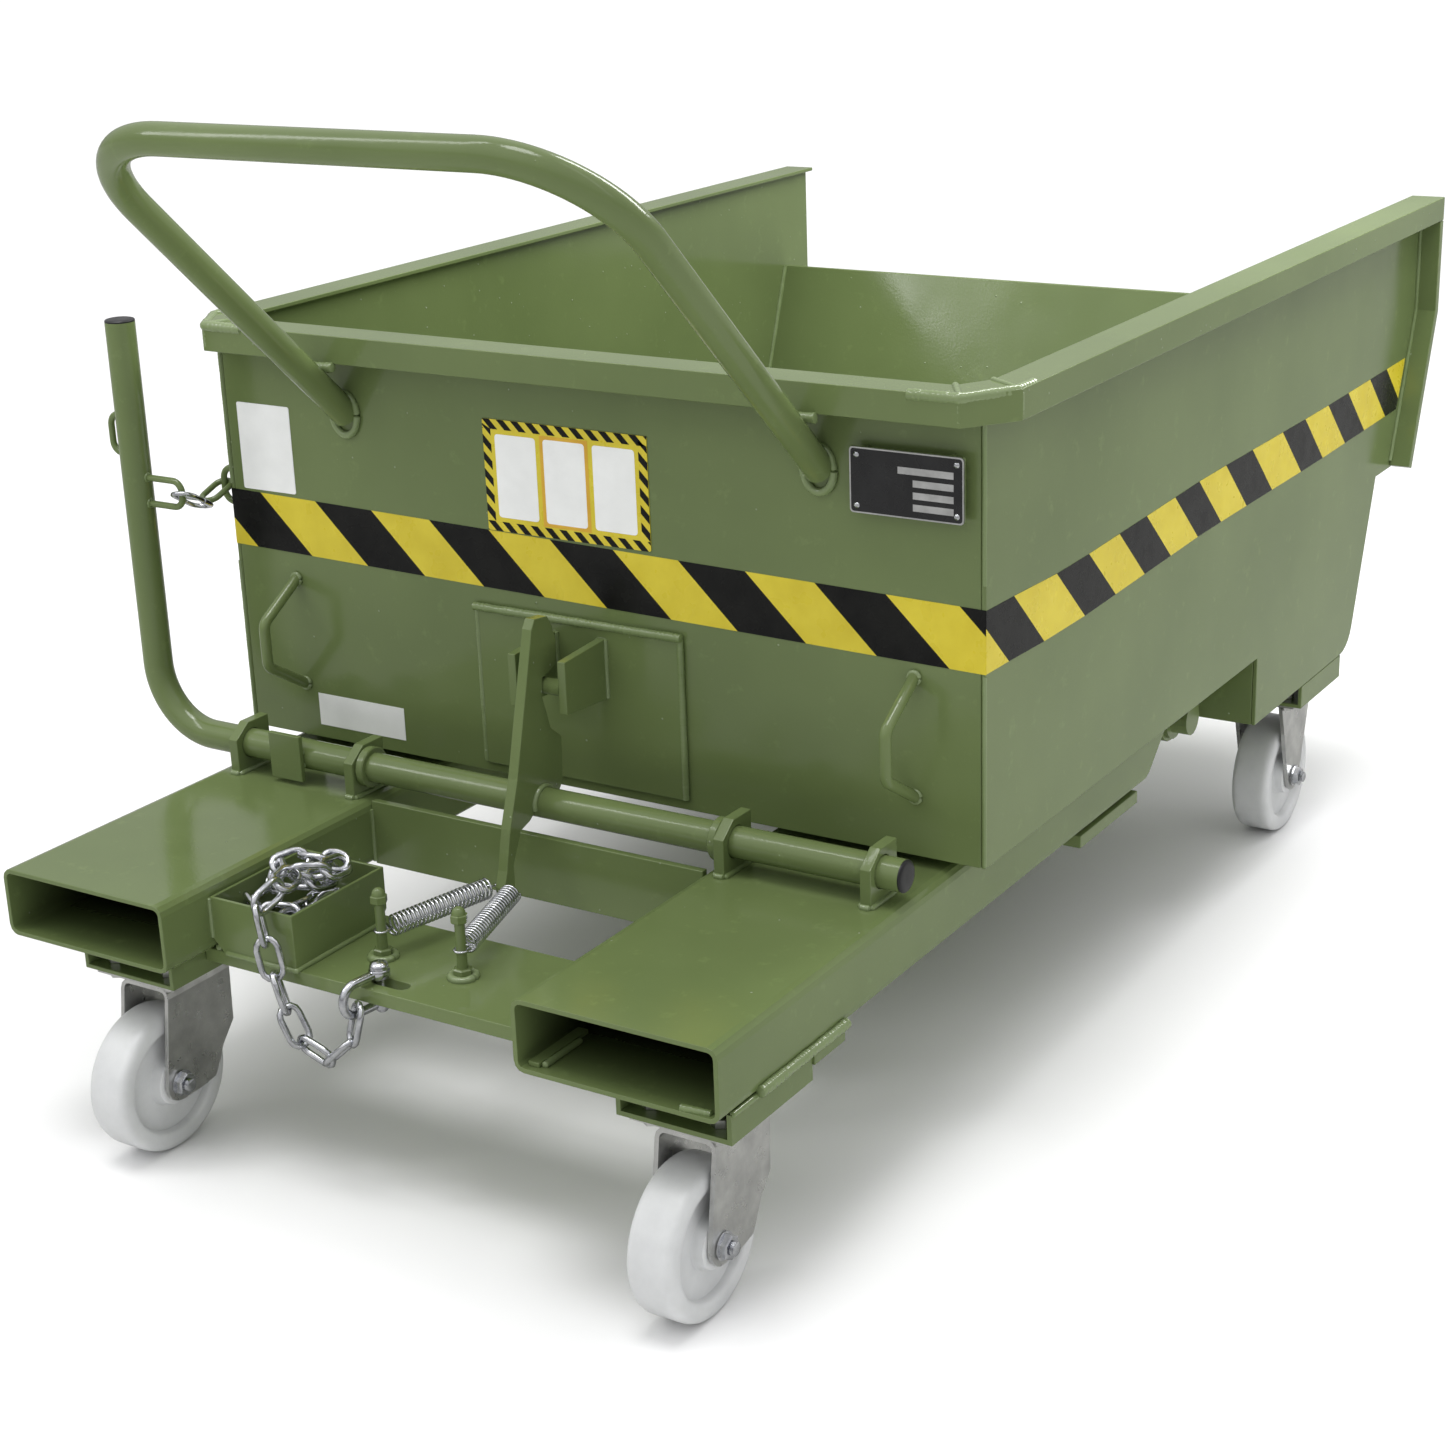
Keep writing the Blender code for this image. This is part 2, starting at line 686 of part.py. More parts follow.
def wheel(x, y):
    """A nylon wheel with sunk faces and a hub, its bore running on the axle's bush."""
    half = WHEEL_WIDTH / 2
    hub = WHEEL_HUB_WIDTH / 2
    web = WHEEL_WEB / 2
    tread = WHEEL_RADIUS / math.cos(math.pi / WHEEL_COUNT)
    upper = [
        (WHEEL_BORE, hub),
        (WHEEL_HUB_RADIUS, hub),
        (WHEEL_HUB_RADIUS, web),
        (WHEEL_RIM_RADIUS, web),
        (WHEEL_RIM_RADIUS + WHEEL_ROUNDING / 2, half),
        (tread - WHEEL_ROUNDING, half),
        (tread, half - WHEEL_ROUNDING),
    ]
    lower = [(radius, -height) for radius, height in reversed(upper)]
    return turned(upper + lower, (x, y, WHEEL_RADIUS), "X", WHEEL_COUNT)


def fork_shell(x, axle_y, top):
    """A bent steel strap seen from the front, cut to the leg's outline seen from the side."""
    outer = [(x - FORK_OUTER, 0), (x - FORK_OUTER, top), (x + FORK_OUTER, top), (x + FORK_OUTER, 0)]
    under = top - FORK_SHEET
    inner = [(x + FORK_INNER, 0), (x + FORK_INNER, under), (x - FORK_INNER, under), (x - FORK_INNER, 0)]
    strap = [(p[0], p[1]) for p in bent([(u, v, 0) for u, v in outer], FORK_BEND, 3)]
    strap += [(p[0], p[1]) for p in bent([(u, v, 0) for u, v in inner], FORK_BEND - FORK_SHEET, 3)]
    return slab("XZ", axle_y - FORK_TOE_RADIUS - OVERRUN, axle_y + FORK_REAR, strap)


def swivel_fork(x):
    """The fork of a swivel castor: flat crown, wide legs and round toes at the axle."""
    top = FORK_TOP
    toe = arc((FRONT_AXLE_Y, WHEEL_RADIUS), FORK_TOE_RADIUS, 180, 270, ARC_COUNT)
    heel_y = FRONT_AXLE_Y + FORK_HEEL_REACH
    heel_z = WHEEL_RADIUS - FORK_HEEL_DROP
    leg = [(FORK_FRONT, top + OVERRUN)] + toe + [
        (heel_y - FORK_TOE_RADIUS, heel_z - FORK_HEEL_DROP / 4),
        (heel_y, heel_z),
        (heel_y + FORK_HEEL_DROP, WHEEL_RADIUS + FORK_HEEL_DROP),
        (FORK_REAR - FORK_SHEET / 2, WHEEL_RADIUS + FORK_HEEL_REACH - FORK_HEEL_DROP),
        (FORK_REAR, top + OVERRUN),
    ]
    side = slab("YZ", x - FORK_OUTER - OVERRUN, x + FORK_OUTER + OVERRUN, leg)
    fork = combine(fork_shell(x, FRONT_AXLE_Y, top), [side], "INTERSECT")
    axle_hole = drill(
        (x, FRONT_AXLE_Y, WHEEL_RADIUS), "X", AXLE_RADIUS + GAP, -FORK_OUTER, FORK_OUTER, PIN_COUNT)
    pin_hole = drill((x, FRONT_CASTOR_Y, top), "Z", KINGPIN_RADIUS + RUNNING, -FORK_SHEET, 0)
    return drilled(fork, axle_hole, pin_hole)


def rigid_fork(x):
    """The fork of a fixed castor: legs that taper to the axle under a bolted flange plate."""
    top = CASTOR_HEIGHT - CASTOR_PLATE
    toe = arc((REAR_AXLE_Y, WHEEL_RADIUS), FORK_TOE_RADIUS, 190, 350, ARC_COUNT)
    half = CASTOR_PLATE_LENGTH / 2 - FORK_SHEET
    leg = [(REAR_AXLE_Y - half, top + OVERRUN)] + toe + [(REAR_AXLE_Y + half, top + OVERRUN)]
    side = slab("YZ", x - FORK_OUTER - OVERRUN, x + FORK_OUTER + OVERRUN, leg)
    blank = slab(
        "XZ", REAR_AXLE_Y - half, REAR_AXLE_Y + half,
        rectangle(x - FORK_OUTER, 0, x - FORK_INNER, top + CASTOR_PLATE / 2),
    )
    other = slab(
        "XZ", REAR_AXLE_Y - half, REAR_AXLE_Y + half,
        rectangle(x + FORK_INNER, 0, x + FORK_OUTER, top + CASTOR_PLATE / 2),
    )
    legs = combine(baked([blank, other]), [side], "INTERSECT")
    plate = slab("XY", top, CASTOR_HEIGHT, rectangle(
        x - CASTOR_PLATE_WIDTH / 2, REAR_AXLE_Y - CASTOR_PLATE_LENGTH / 2,
        x + CASTOR_PLATE_WIDTH / 2, REAR_AXLE_Y + CASTOR_PLATE_LENGTH / 2,
    ))
    fork = combine(legs, [plate] + castor_bolts(x, REAR_AXLE_Y), "UNION")
    axle_hole = drill(
        (x, REAR_AXLE_Y, WHEEL_RADIUS), "X", AXLE_RADIUS + GAP, -FORK_OUTER, FORK_OUTER, PIN_COUNT)
    return drilled(fork, axle_hole)


def axle(x, y):
    """A bolt through the fork's legs, with the bush that the wheel turns on, head and nut."""
    bush = FORK_INNER - GAP
    face = FORK_OUTER + GAP
    profile = [
        (0, face + GAP + AXLE_HEAD / 2), (AXLE_RADIUS, face + GAP + AXLE_HEAD / 2),
        (AXLE_RADIUS, bush), (AXLE_BUSH_RADIUS, bush),
        (AXLE_BUSH_RADIUS, -bush), (AXLE_RADIUS, -bush),
        (AXLE_RADIUS, -face - AXLE_HEAD / 2), (0, -face - AXLE_HEAD / 2),
    ]
    shaft = turned(profile, (x, y, WHEEL_RADIUS), "X", PIN_COUNT, closed=False)
    nut = hexagon((x, y, WHEEL_RADIUS), "X", AXLE_HEAD_RADIUS, face, face + AXLE_HEAD)
    end = turned(disc(AXLE_RADIUS * CAP_LIP_SHARE, face + AXLE_HEAD / 2, face + AXLE_HEAD + AXLE_END),
                 (x, y, WHEEL_RADIUS), "X", BOLT_COUNT, closed=False)
    head = hexagon((x, y, WHEEL_RADIUS), "X", AXLE_HEAD_RADIUS, -face - AXLE_HEAD, -face)
    return combine(shaft, [nut, end, head], "UNION")


def swivel_plate(x):
    """The top plate of a swivel castor with its ball race, kingpin and bolts."""
    low = CASTOR_HEIGHT - CASTOR_PLATE
    plate = slab("XY", low, CASTOR_HEIGHT, rectangle(
        x - CASTOR_PLATE_WIDTH / 2, FRONT_CASTOR_Y - CASTOR_PLATE_LENGTH / 2,
        x + CASTOR_PLATE_WIDTH / 2, FRONT_CASTOR_Y + CASTOR_PLATE_LENGTH / 2,
    ))
    crown_low = FORK_TOP - FORK_SHEET - GAP
    race = turned([
        (0, low + CASTOR_PLATE / 2), (RACE_RADIUS, low + CASTOR_PLATE / 2),
        (RACE_RADIUS, FORK_TOP + GAP), (KINGPIN_RADIUS, FORK_TOP + GAP),
        (KINGPIN_RADIUS, crown_low), (KINGPIN_HEAD_RADIUS, crown_low),
        (KINGPIN_HEAD_RADIUS, crown_low - KINGPIN_HEAD), (0, crown_low - KINGPIN_HEAD),
    ], (x, FRONT_CASTOR_Y, 0), "Z", closed=False)
    return combine(plate, [race] + castor_bolts(x, FRONT_CASTOR_Y), "UNION")


FRONT_CASTORS = (("left", FRONT_CASTOR_LEFT), ("right", FRONT_CASTOR_RIGHT))
REAR_CASTORS = (("left", -REAR_CASTOR_X), ("right", REAR_CASTOR_X))

for side, castor_x in FRONT_CASTORS:
    body("castor_front_" + side, (castor_x, FRONT_CASTOR_Y, FORK_TOP), "base")
    body("wheel_front_" + side, (castor_x, FRONT_AXLE_Y, WHEEL_RADIUS), "castor_front_" + side)
    fit("castor_plate_front_" + side, ZINC, "base", swivel_plate(castor_x))
    fit("castor_fork_front_" + side, ZINC, "castor_front_" + side, swivel_fork(castor_x))
    fit("castor_axle_front_" + side, ZINC, "castor_front_" + side, axle(castor_x, FRONT_AXLE_Y))
    fit("castor_wheel_front_" + side, NYLON, "wheel_front_" + side, wheel(castor_x, FRONT_AXLE_Y))

for side, castor_x in REAR_CASTORS:
    body("wheel_rear_" + side, (castor_x, REAR_AXLE_Y, WHEEL_RADIUS), "hopper")
    fit("castor_fork_rear_" + side, ZINC, "hopper", rigid_fork(castor_x))
    fit("castor_axle_rear_" + side, ZINC, "hopper", axle(castor_x, REAR_AXLE_Y))
    fit("castor_wheel_rear_" + side, NYLON, "wheel_rear_" + side, wheel(castor_x, REAR_AXLE_Y))


# Chain box and spring posts

def chain_box():
    """A low open box of folded sheet on the front plate, with its lower corners cut away."""
    outer = rectangle(BOX_LEFT, BOX_START, BOX_RIGHT, BOX_END)
    inner = rectangle(BOX_LEFT + BOX_SHEET, BOX_START + BOX_SHEET, BOX_RIGHT - BOX_SHEET, BOX_END - BOX_SHEET)
    ring = slab("XY", POCKET_BOTTOM, POCKET_BOTTOM + BOX_HEIGHT, outer, inner)
    reach = BOX_CORNER_CUT + OVERRUN
    low = POCKET_BOTTOM - OVERRUN
    high = low + 2 * OVERRUN + BOX_CORNER_CUT
    left = slab("XZ", BOX_START - OVERRUN, BOX_START + BOX_SHEET + OVERRUN / 2, [
        (BOX_LEFT - OVERRUN, low), (BOX_LEFT + reach, low), (BOX_LEFT - OVERRUN, high),
    ])
    right = slab("YZ", BOX_RIGHT - BOX_SHEET - OVERRUN / 2, BOX_RIGHT + OVERRUN, [
        (BOX_END + OVERRUN, low), (BOX_END - reach, low), (BOX_END + OVERRUN, high),
    ])
    return drilled(ring, left, right)


def spring_post(x):
    """A round post with a welded foot and a domed head, which a spring hooks on to."""
    low = POCKET_BOTTOM
    high = low + POST_HEIGHT
    profile = [
        (0, high), (POST_HEAD_RADIUS * 2 / 3, high), (POST_HEAD_RADIUS, high - POST_HEAD / 3),
        (POST_HEAD_RADIUS, high - POST_HEAD), (POST_RADIUS, high - POST_HEAD),
        (POST_RADIUS, low + POST_FOOT), (POST_FOOT_RADIUS, low), (0, low),
    ]
    return turned(profile, (x, POST_Y, 0), "Z", PIN_COUNT, closed=False)


fit("chain_box", PAINT, "base", chain_box())
fit("spring_post_left", PAINT, "base", spring_post(-POST_X))
fit("spring_post_right", PAINT, "base", spring_post(POST_X))


# Latch shaft with its lever, turning in four brackets

def shaft_bracket(x):
    """An upright plate on a pocket, bored for the shaft, with its front corner cut off."""
    low = POCKET_TOP + GAP
    outline = [
        (BRACKET_START, low), (BRACKET_END, low), (BRACKET_END, POCKET_TOP + BRACKET_TOP),
        (BRACKET_START + BRACKET_CHAMFER, POCKET_TOP + BRACKET_TOP),
        (BRACKET_START, POCKET_TOP + BRACKET_SHOULDER),
    ]
    bore = circle((SHAFT_Y, SHAFT_Z), SHAFT_RADIUS + RUNNING)
    return slab("YZ", x - BRACKET_THICK / 2, x + BRACKET_THICK / 2, outline, bore)


def latch_plate():
    """The upright hook plate: stem with the spring hole, throat for the pin, notch on the shaft."""
    notch = arc((SHAFT_Y, SHAFT_Z), SHAFT_RADIUS + RUNNING, -10, 200, 14)
    tip = arc((LATCH_TIP_Y, LATCH_TIP_Z), LATCH_TIP_RADIUS, 10, -190, 8)
    outline = list(LATCH_FRONT + LATCH_HEAD + LATCH_THROAT + LATCH_BACK) + notch + list(LATCH_STEM) + tip
    hole = circle((LATCH_TIP_Y, LATCH_TIP_Z), LATCH_HOLE_RADIUS, 12)
    return slab("YZ", -LATCH_THICK / 2, LATCH_THICK / 2, outline, hole)


def side_loop(x, direction, foot, stand, y, z, half):
    """A wire loop that stands out sideways from x, its feet `foot` away from there."""
    reach = x + direction * stand
    corner = (half - LOOP_WIRE) / 2
    path = bent([
        (x + direction * foot, y, z - half), (reach, y, z - half),
        (reach, y, z + half), (x + direction * foot, y, z + half),
    ], corner, 3)
    return tube(path, LOOP_WIRE, FORM_RESOLUTION)


for number, bracket_x in enumerate(sorted(direction * x for direction in (-1, 1) for x in BRACKET_X)):
    fit("shaft_bracket_" + str(number + 1), PAINT, "base", shaft_bracket(bracket_x))
fit("latch_plate", PAINT, "latch", latch_plate())


def latch_shaft():
    """One tube bent up into the lever, with a collar beside each inner bracket and the lever's two loops."""
    path = bent(
        [(SHAFT_END_X, SHAFT_Y, SHAFT_Z), (LEVER_X, SHAFT_Y, SHAFT_Z), (LEVER_X, SHAFT_Y, LEVER_TOP)],
        LEVER_BEND, 8)
    collar_x = BRACKET_X[0] - BRACKET_THICK / 2 - GAP - COLLAR_WIDTH / 2
    fittings = [
        turned(disc(COLLAR_RADIUS, -COLLAR_WIDTH / 2, COLLAR_WIDTH / 2), (x, SHAFT_Y, SHAFT_Z), "X",
               closed=False)
        for x in (-collar_x, collar_x)
    ]
    fittings.append(side_loop(
        LEVER_X - SHAFT_RADIUS, -1, -LOOP_WIRE, LEFT_LOOP_REACH, SHAFT_Y, LEFT_LOOP_Z, LEFT_LOOP_HALF))
    fittings.append(side_loop(
        LEVER_X + SHAFT_RADIUS, 1, -LOOP_WIRE, RIGHT_LOOP_REACH, SHAFT_Y, RIGHT_LOOP_Z, RIGHT_LOOP_HALF))
    return combine(tube(path, SHAFT_RADIUS), fittings, "UNION")


def tube_cap(at, axis):
    """A plug's visible flange on a tube's open end."""
    radius = SHAFT_RADIUS * CAP_LIP_SHARE
    return turned([
        (0, CAP_THICK + GAP), (radius - CAP_THICK / 2, CAP_THICK + GAP), (radius, CAP_THICK / 2 + GAP),
        (radius, GAP), (0, GAP),
    ], at, axis, closed=False)


fit("latch_shaft", PAINT, "latch", latch_shaft())
fit("stop_plate", PAINT, "latch", slab(
    "XZ", SHAFT_Y - SHAFT_RADIUS - GAP - STOP_THICK, SHAFT_Y - SHAFT_RADIUS - GAP,
    rectangle(STOP_LEFT, STOP_LOW, STOP_LEFT + STOP_WIDTH, STOP_HIGH),
))
fit("shaft_cap", PLASTIC, "latch", tube_cap((SHAFT_END_X, SHAFT_Y, SHAFT_Z), "X"))
fit("lever_cap", PLASTIC, "latch", tube_cap((LEVER_X, SHAFT_Y, LEVER_TOP), "Z"))


# Springs from the posts to the latch plate's lower end

def spring_path(side):
    """One unbroken wire: hook round the post, lead, curls, and a tail into the latch plate's hole."""
    hook_z = POCKET_BOTTOM + SPRING_HOOK_HEIGHT
    post = Vector((side * POST_X, POST_Y, hook_z))
    mouth = Vector((side * (LATCH_THICK / 2 + SPRING_TAIL / 2), LATCH_TIP_Y, LATCH_TIP_Z))
    along = (mouth - post).normalized()
    across = along.cross(Vector((0, 0, 1))).normalized() * side
    up = across.cross(along).normalized()
    wrap = POST_RADIUS + RUNNING + SPRING_WIRE
    flat = Vector((along.x, along.y, 0)).normalized()
    wide = Vector((across.x, across.y, 0)).normalized()
    path = [post + wide * wrap + flat * (2 * SPRING_WIRE)]
    for step in range(9):
        angle = math.pi * step / 8
        path.append(post + wide * wrap * math.cos(angle) - flat * wrap * math.sin(angle))
    start = post + along * (wrap + SPRING_LEAD)
    end = mouth - along * SPRING_LEAD
    path.append(post - wide * wrap + flat * (2 * SPRING_WIRE))
    path.append(start - along * SPRING_LEAD / 3)
    total = SPRING_CURLS * SPRING_POINTS_PER_CURL
    for step in range(total + 1):
        angle = 2 * math.pi * step / SPRING_POINTS_PER_CURL
        spoke = across * math.cos(angle) + up * math.sin(angle)
        path.append(start.lerp(end, step / total) + spoke * SPRING_RADIUS)
    path.append(end + along * SPRING_LEAD / 3)
    path.append(mouth)
    path.append(Vector((side * LATCH_THICK / 5, LATCH_TIP_Y, LATCH_TIP_Z)))
    return path


def least_gap(path, wire):
    """The least gap of a wire to itself, between points more than half a curl apart along it."""
    apart = SPRING_POINTS_PER_CURL // 2 + 1
    nearest = min(
        (path[i] - path[j]).length for i in range(len(path)) for j in range(i + apart, len(path)))
    return nearest - 2 * wire


for side, direction in (("left", -1), ("right", 1)):
    wire_path = spring_path(direction)
    gap = least_gap(wire_path, SPRING_WIRE)
    print("latch_spring_" + side, "least gap to itself in metres:", round(gap, 5))
    fit("latch_spring_" + side, ZINC, "base", tube(wire_path, SPRING_WIRE, FORM_RESOLUTION))


# Pivot: a tube welded in two ears on the base, with the hopper's two bored hooks turning on it

def pivot_ear(side):
    """A bar along a pocket's inner side that reaches back round the pivot tube."""
    eye = PIVOT_RADIUS + PIVOT_EYE
    start_deg = -math.degrees(math.asin((PIVOT_Z - PIVOT_EAR_LOW) / eye)) - 90
    outline = [(PIVOT_EAR_START, PIVOT_EAR_LOW)]
    outline += arc((PIVOT_Y, PIVOT_Z), eye, start_deg, 90, 12)
    outline += [(POCKET_LENGTH, PIVOT_EAR_HIGH), (PIVOT_EAR_START, PIVOT_EAR_HIGH)]
    low = side * PIVOT_EAR_X
    high = side * (PIVOT_EAR_X + PIVOT_EAR_THICK)
    return slab("YZ", min(low, high), max(low, high), outline)


def pivot_hook(side):
    """A plate under the hopper's floor, round the pivot tube and welded to the step plate."""
    low = side * HOOK_X
    high = side * (HOOK_X + HOOK_THICK)
    top = HOPPER_FLOOR - GAP
    outline = [(PIVOT_Y - HOOK_TOE_RADIUS, top)]
    outline += arc((PIVOT_Y, PIVOT_Z), HOOK_TOE_RADIUS, 180, 270, ARC_COUNT)
    outline += [(STEP_Y - GAP, PIVOT_Z - HOOK_TOE_RADIUS + SHEET), (STEP_Y - GAP, top)]
    bore = circle((PIVOT_Y, PIVOT_Z), PIVOT_RADIUS + RUNNING)
    return slab("YZ", min(low, high), max(low, high), outline, bore)


def pivot_tube():
    """The tube that the hopper turns on, with a washer near each end and the two ears that carry it."""
    middle = (0, PIVOT_Y, PIVOT_Z)
    bar = turned(disc(PIVOT_RADIUS, -PIVOT_HALF, PIVOT_HALF), middle, "X", PIN_COUNT, closed=False)
    washer_x = HOOK_X + HOOK_THICK + RUNNING
    washers = [
        turned(disc(PIVOT_WASHER_RADIUS, low, low + PIVOT_WASHER), middle, "X", PIN_COUNT, closed=False)
        for low in (washer_x, -washer_x - PIVOT_WASHER)
    ]
    return combine(bar, washers + [pivot_ear(-1), pivot_ear(1)], "UNION")


fit("pivot_tube", PAINT, "base", pivot_tube())
fit("pivot_hook_left", PAINT, "hopper", pivot_hook(-1))
fit("pivot_hook_right", PAINT, "hopper", pivot_hook(1))


# Hopper sheets

def dump_face(offset):
    """The dump plate's line from its floor bend to its lip, moved inwards by an offset."""
    centre = (DUMP_BEND_Y, DEEP_FLOOR + DUMP_BEND_RADIUS)
    bend = arc(centre, DUMP_BEND_RADIUS - offset, -90, DUMP_SLOPE_DEG - 90, ARC_COUNT)
    slope = math.radians(DUMP_SLOPE_DEG)
    height = DUMP_LIP_Z - bend[-1][1]
    return bend + [(bend[-1][0] + height / math.tan(slope), DUMP_LIP_Z)]


def side_wall(side):
    """A side sheet: deep behind the step, with a cheek that stands out past the dump plate."""
    edge = dump_face(0)
    slope = math.tan(math.radians(DUMP_SLOPE_DEG))
    notch_y = edge[-1][0] - (DUMP_LIP_Z - CHEEK_Z) / slope
    outline = [
        (HOPPER_FRONT, HOPPER_FLOOR), (STEP_Y, HOPPER_FLOOR), (STEP_Y, DEEP_FLOOR), *edge[:-1],
        (notch_y, CHEEK_Z), (CHEEK_END_Y, CHEEK_Z), (HOPPER_END, CHEEK_KNEE_Z), (HOPPER_END, SHEET_TOP),
        (HOPPER_FRONT, SHEET_TOP),
    ]
    low = side * HOPPER_INSIDE
    high = side * HOPPER_HALF
    return slab("YZ", min(low, high), max(low, high), outline)


def floor_plate():
    """One bent sheet: the floor over the pockets and the step down behind the pivot."""
    start = HOPPER_FRONT + SHEET + GAP
    return slab("YZ", -inner_x, inner_x, [
        (start, HOPPER_FLOOR), (STEP_Y, HOPPER_FLOOR), (STEP_Y, DEEP_FLOOR), (STEP_Y + SHEET, DEEP_FLOOR),
        (STEP_Y + SHEET, HOPPER_FLOOR + SHEET), (start, HOPPER_FLOOR + SHEET),
    ])


def dump_plate():
    """One bent sheet between the side sheets: the deep floor and the slanted rear above it."""
    start = STEP_Y + SHEET + GAP
    outline = [(start, DEEP_FLOOR)] + dump_face(0) + list(reversed(dump_face(SHEET)))
    outline.append((start, DEEP_FLOOR + SHEET))
    return slab("YZ", -inner_x, inner_x, outline)


inner_x = HOPPER_INSIDE - GAP
fit("side_wall_left", PAINT, "hopper", side_wall(-1))
fit("side_wall_right", PAINT, "hopper", side_wall(1))
fit("front_wall", PAINT, "hopper", slab(
    "XZ", HOPPER_FRONT, HOPPER_FRONT + SHEET, rectangle(-inner_x, HOPPER_FLOOR, inner_x, SHEET_TOP)))
fit("floor_plate", PAINT, "hopper", floor_plate())
fit("dump_plate", PAINT, "hopper", dump_plate())


# Rim of folded angle round the hopper's mouth

def rim_path(inset):
    """Half of the rim's line in plan, from the front's middle to the open end, an inset in from its edge."""
    slant = inset * RIM_CORNER_INNER_SHARE
    return [
        (RIM_CORNER_X - slant, RIM_FRONT + inset), (RIM_OUTER - inset, RIM_CORNER_Y + slant),
        (RIM_OUTER - inset, HOPPER_END),
    ]


def rim():
    """Angle round three sides of the mouth: a flat top and a lip that hangs from its outer edge."""
    def ring(inset):
        outer = rim_path(0)
        inner = rim_path(inset)
        return ([(-x, y) for x, y in reversed(outer)] + outer
                + list(reversed(inner)) + [(-x, y) for x, y in inner])
    top = slab("XY", HOPPER_TOP - RIM_SHEET, HOPPER_TOP, ring(RIM_WIDTH))
    lip = slab("XY", RIM_BOTTOM, HOPPER_TOP - RIM_SHEET / 2, ring(RIM_SHEET))
    return combine(top, [lip], "UNION")


def edge_flange(side):
    """A flat bar square to a side sheet, down its open end and along the slanted cheek."""
    knee = Vector((HOPPER_END, CHEEK_KNEE_Z))
    toe = Vector((CHEEK_END_Y, CHEEK_Z))
    slant = (toe - knee).normalized()
    inward = Vector((slant.y, -slant.x))
    inner_toe = toe + inward * FLANGE_THICK
    inner_knee_z = inner_toe.y - slant.y * (HOPPER_END - FLANGE_THICK - inner_toe.x) / -slant.x
    outline = [
        (HOPPER_END, RIM_BOTTOM - GAP), tuple(knee), tuple(toe), tuple(inner_toe),
        (HOPPER_END - FLANGE_THICK, inner_knee_z),
        (HOPPER_END - FLANGE_THICK, RIM_BOTTOM - GAP),
    ]
    low = side * (HOPPER_HALF + GAP)
    high = side * RIM_OUTER
    return slab("YZ", min(low, high), max(low, high), outline)


fit("rim", PAINT, "hopper", rim())
fit("edge_flange_left", PAINT, "hopper", edge_flange(-1))
fit("edge_flange_right", PAINT, "hopper", edge_flange(1))


# Push handle and grab handles

def push_handle():
    """A bent tube from the front wall, its two feet cut flush with the wall."""
    slope = (HANDLE_Z - HANDLE_FOOT_Z) / (HOPPER_FRONT - HANDLE_Y)
    past = HOPPER_FRONT + 2 * HANDLE_RADIUS
    foot_z = HANDLE_FOOT_Z - slope * 2 * HANDLE_RADIUS
    path = bent([
        (-HANDLE_HALF, past, foot_z), (-HANDLE_HALF, HANDLE_Y, HANDLE_Z),
        (HANDLE_HALF, HANDLE_Y, HANDLE_Z), (HANDLE_HALF, past, foot_z),
    ], HANDLE_BEND, HANDLE_BEND_COUNT)
    reach = 4 * HANDLE_RADIUS
    wall = slab("XZ", HOPPER_FRONT - GAP, past + reach, rectangle(
        -HANDLE_HALF - reach, foot_z - reach, HANDLE_HALF + reach, HANDLE_FOOT_Z + reach))
    return drilled(tube(path, HANDLE_RADIUS), wall)


def grab_handle(x):
    """A thin bar bent into a bow that stands off the front wall."""
    face = HOPPER_FRONT - GAP
    drop = (GRAB_TOP_Z - GRAB_BOTTOM_Z) * GRAB_SLANT_SHARE
    out = HOPPER_FRONT - GRAB_STAND
    path = bent([
        (x, face, GRAB_TOP_Z), (x, out, GRAB_TOP_Z - drop),
        (x, out, GRAB_BOTTOM_Z + drop), (x, face, GRAB_BOTTOM_Z),
    ], GRAB_BEND, 3)
    far = HOPPER_FRONT + GRAB_STAND
    stretched = [path[0] + (path[0] - path[1]).normalized() * 3 * GRAB_RADIUS, *path[1:-1],
                 path[-1] + (path[-1] - path[-2]).normalized() * 3 * GRAB_RADIUS]
    wall = slab("XZ", face, far, rectangle(
        x - GRAB_STAND, GRAB_BOTTOM_Z - GRAB_STAND, x + GRAB_STAND, GRAB_TOP_Z + GRAB_STAND))
    return drilled(tube(stretched, GRAB_RADIUS, WIRE_RESOLUTION), wall)


fit("push_handle", PAINT, "hopper", push_handle())
fit("grab_handle_left", PAINT, "hopper", grab_handle(GRAB_LEFT_X))
fit("grab_handle_right", PAINT, "hopper", grab_handle(GRAB_RIGHT_X))


# Keeper with the pin that the latch plate holds

def keeper_plate(side):
    """An upright plate on the backing plate, beside the pin."""
    back = HOPPER_FRONT - BACKING_THICK / 2
    outline = [
        (back, KEEPER_LOW), (back, KEEPER_HIGH), (KEEPER_FRONT, KEEPER_HIGH - KEEPER_TAPER),
        (KEEPER_FRONT, KEEPER_LOW + KEEPER_TAPER),
    ]
    low = side * (KEEPER_X - KEEPER_THICK / 2)
    high = side * (KEEPER_X + KEEPER_THICK / 2)
    return slab("YZ", min(low, high), max(low, high), outline)


pin_half = KEEPER_X - KEEPER_THICK / 2 - GAP
backing = slab(
    "XZ", HOPPER_FRONT - GAP - BACKING_THICK, HOPPER_FRONT - GAP,
    rectangle(BACKING_LEFT, BACKING_LOW, BACKING_RIGHT, BACKING_HIGH))
fit("latch_keeper", PAINT, "hopper", combine(backing, [keeper_plate(-1), keeper_plate(1)], "UNION"))
fit("latch_pin", PAINT, "hopper", turned(
    disc(PIN_RADIUS, -pin_half, pin_half), (0, PIN_Y, PIN_Z), "X", PIN_COUNT, closed=False))


# Rating plate on its bent bracket, and its rivets

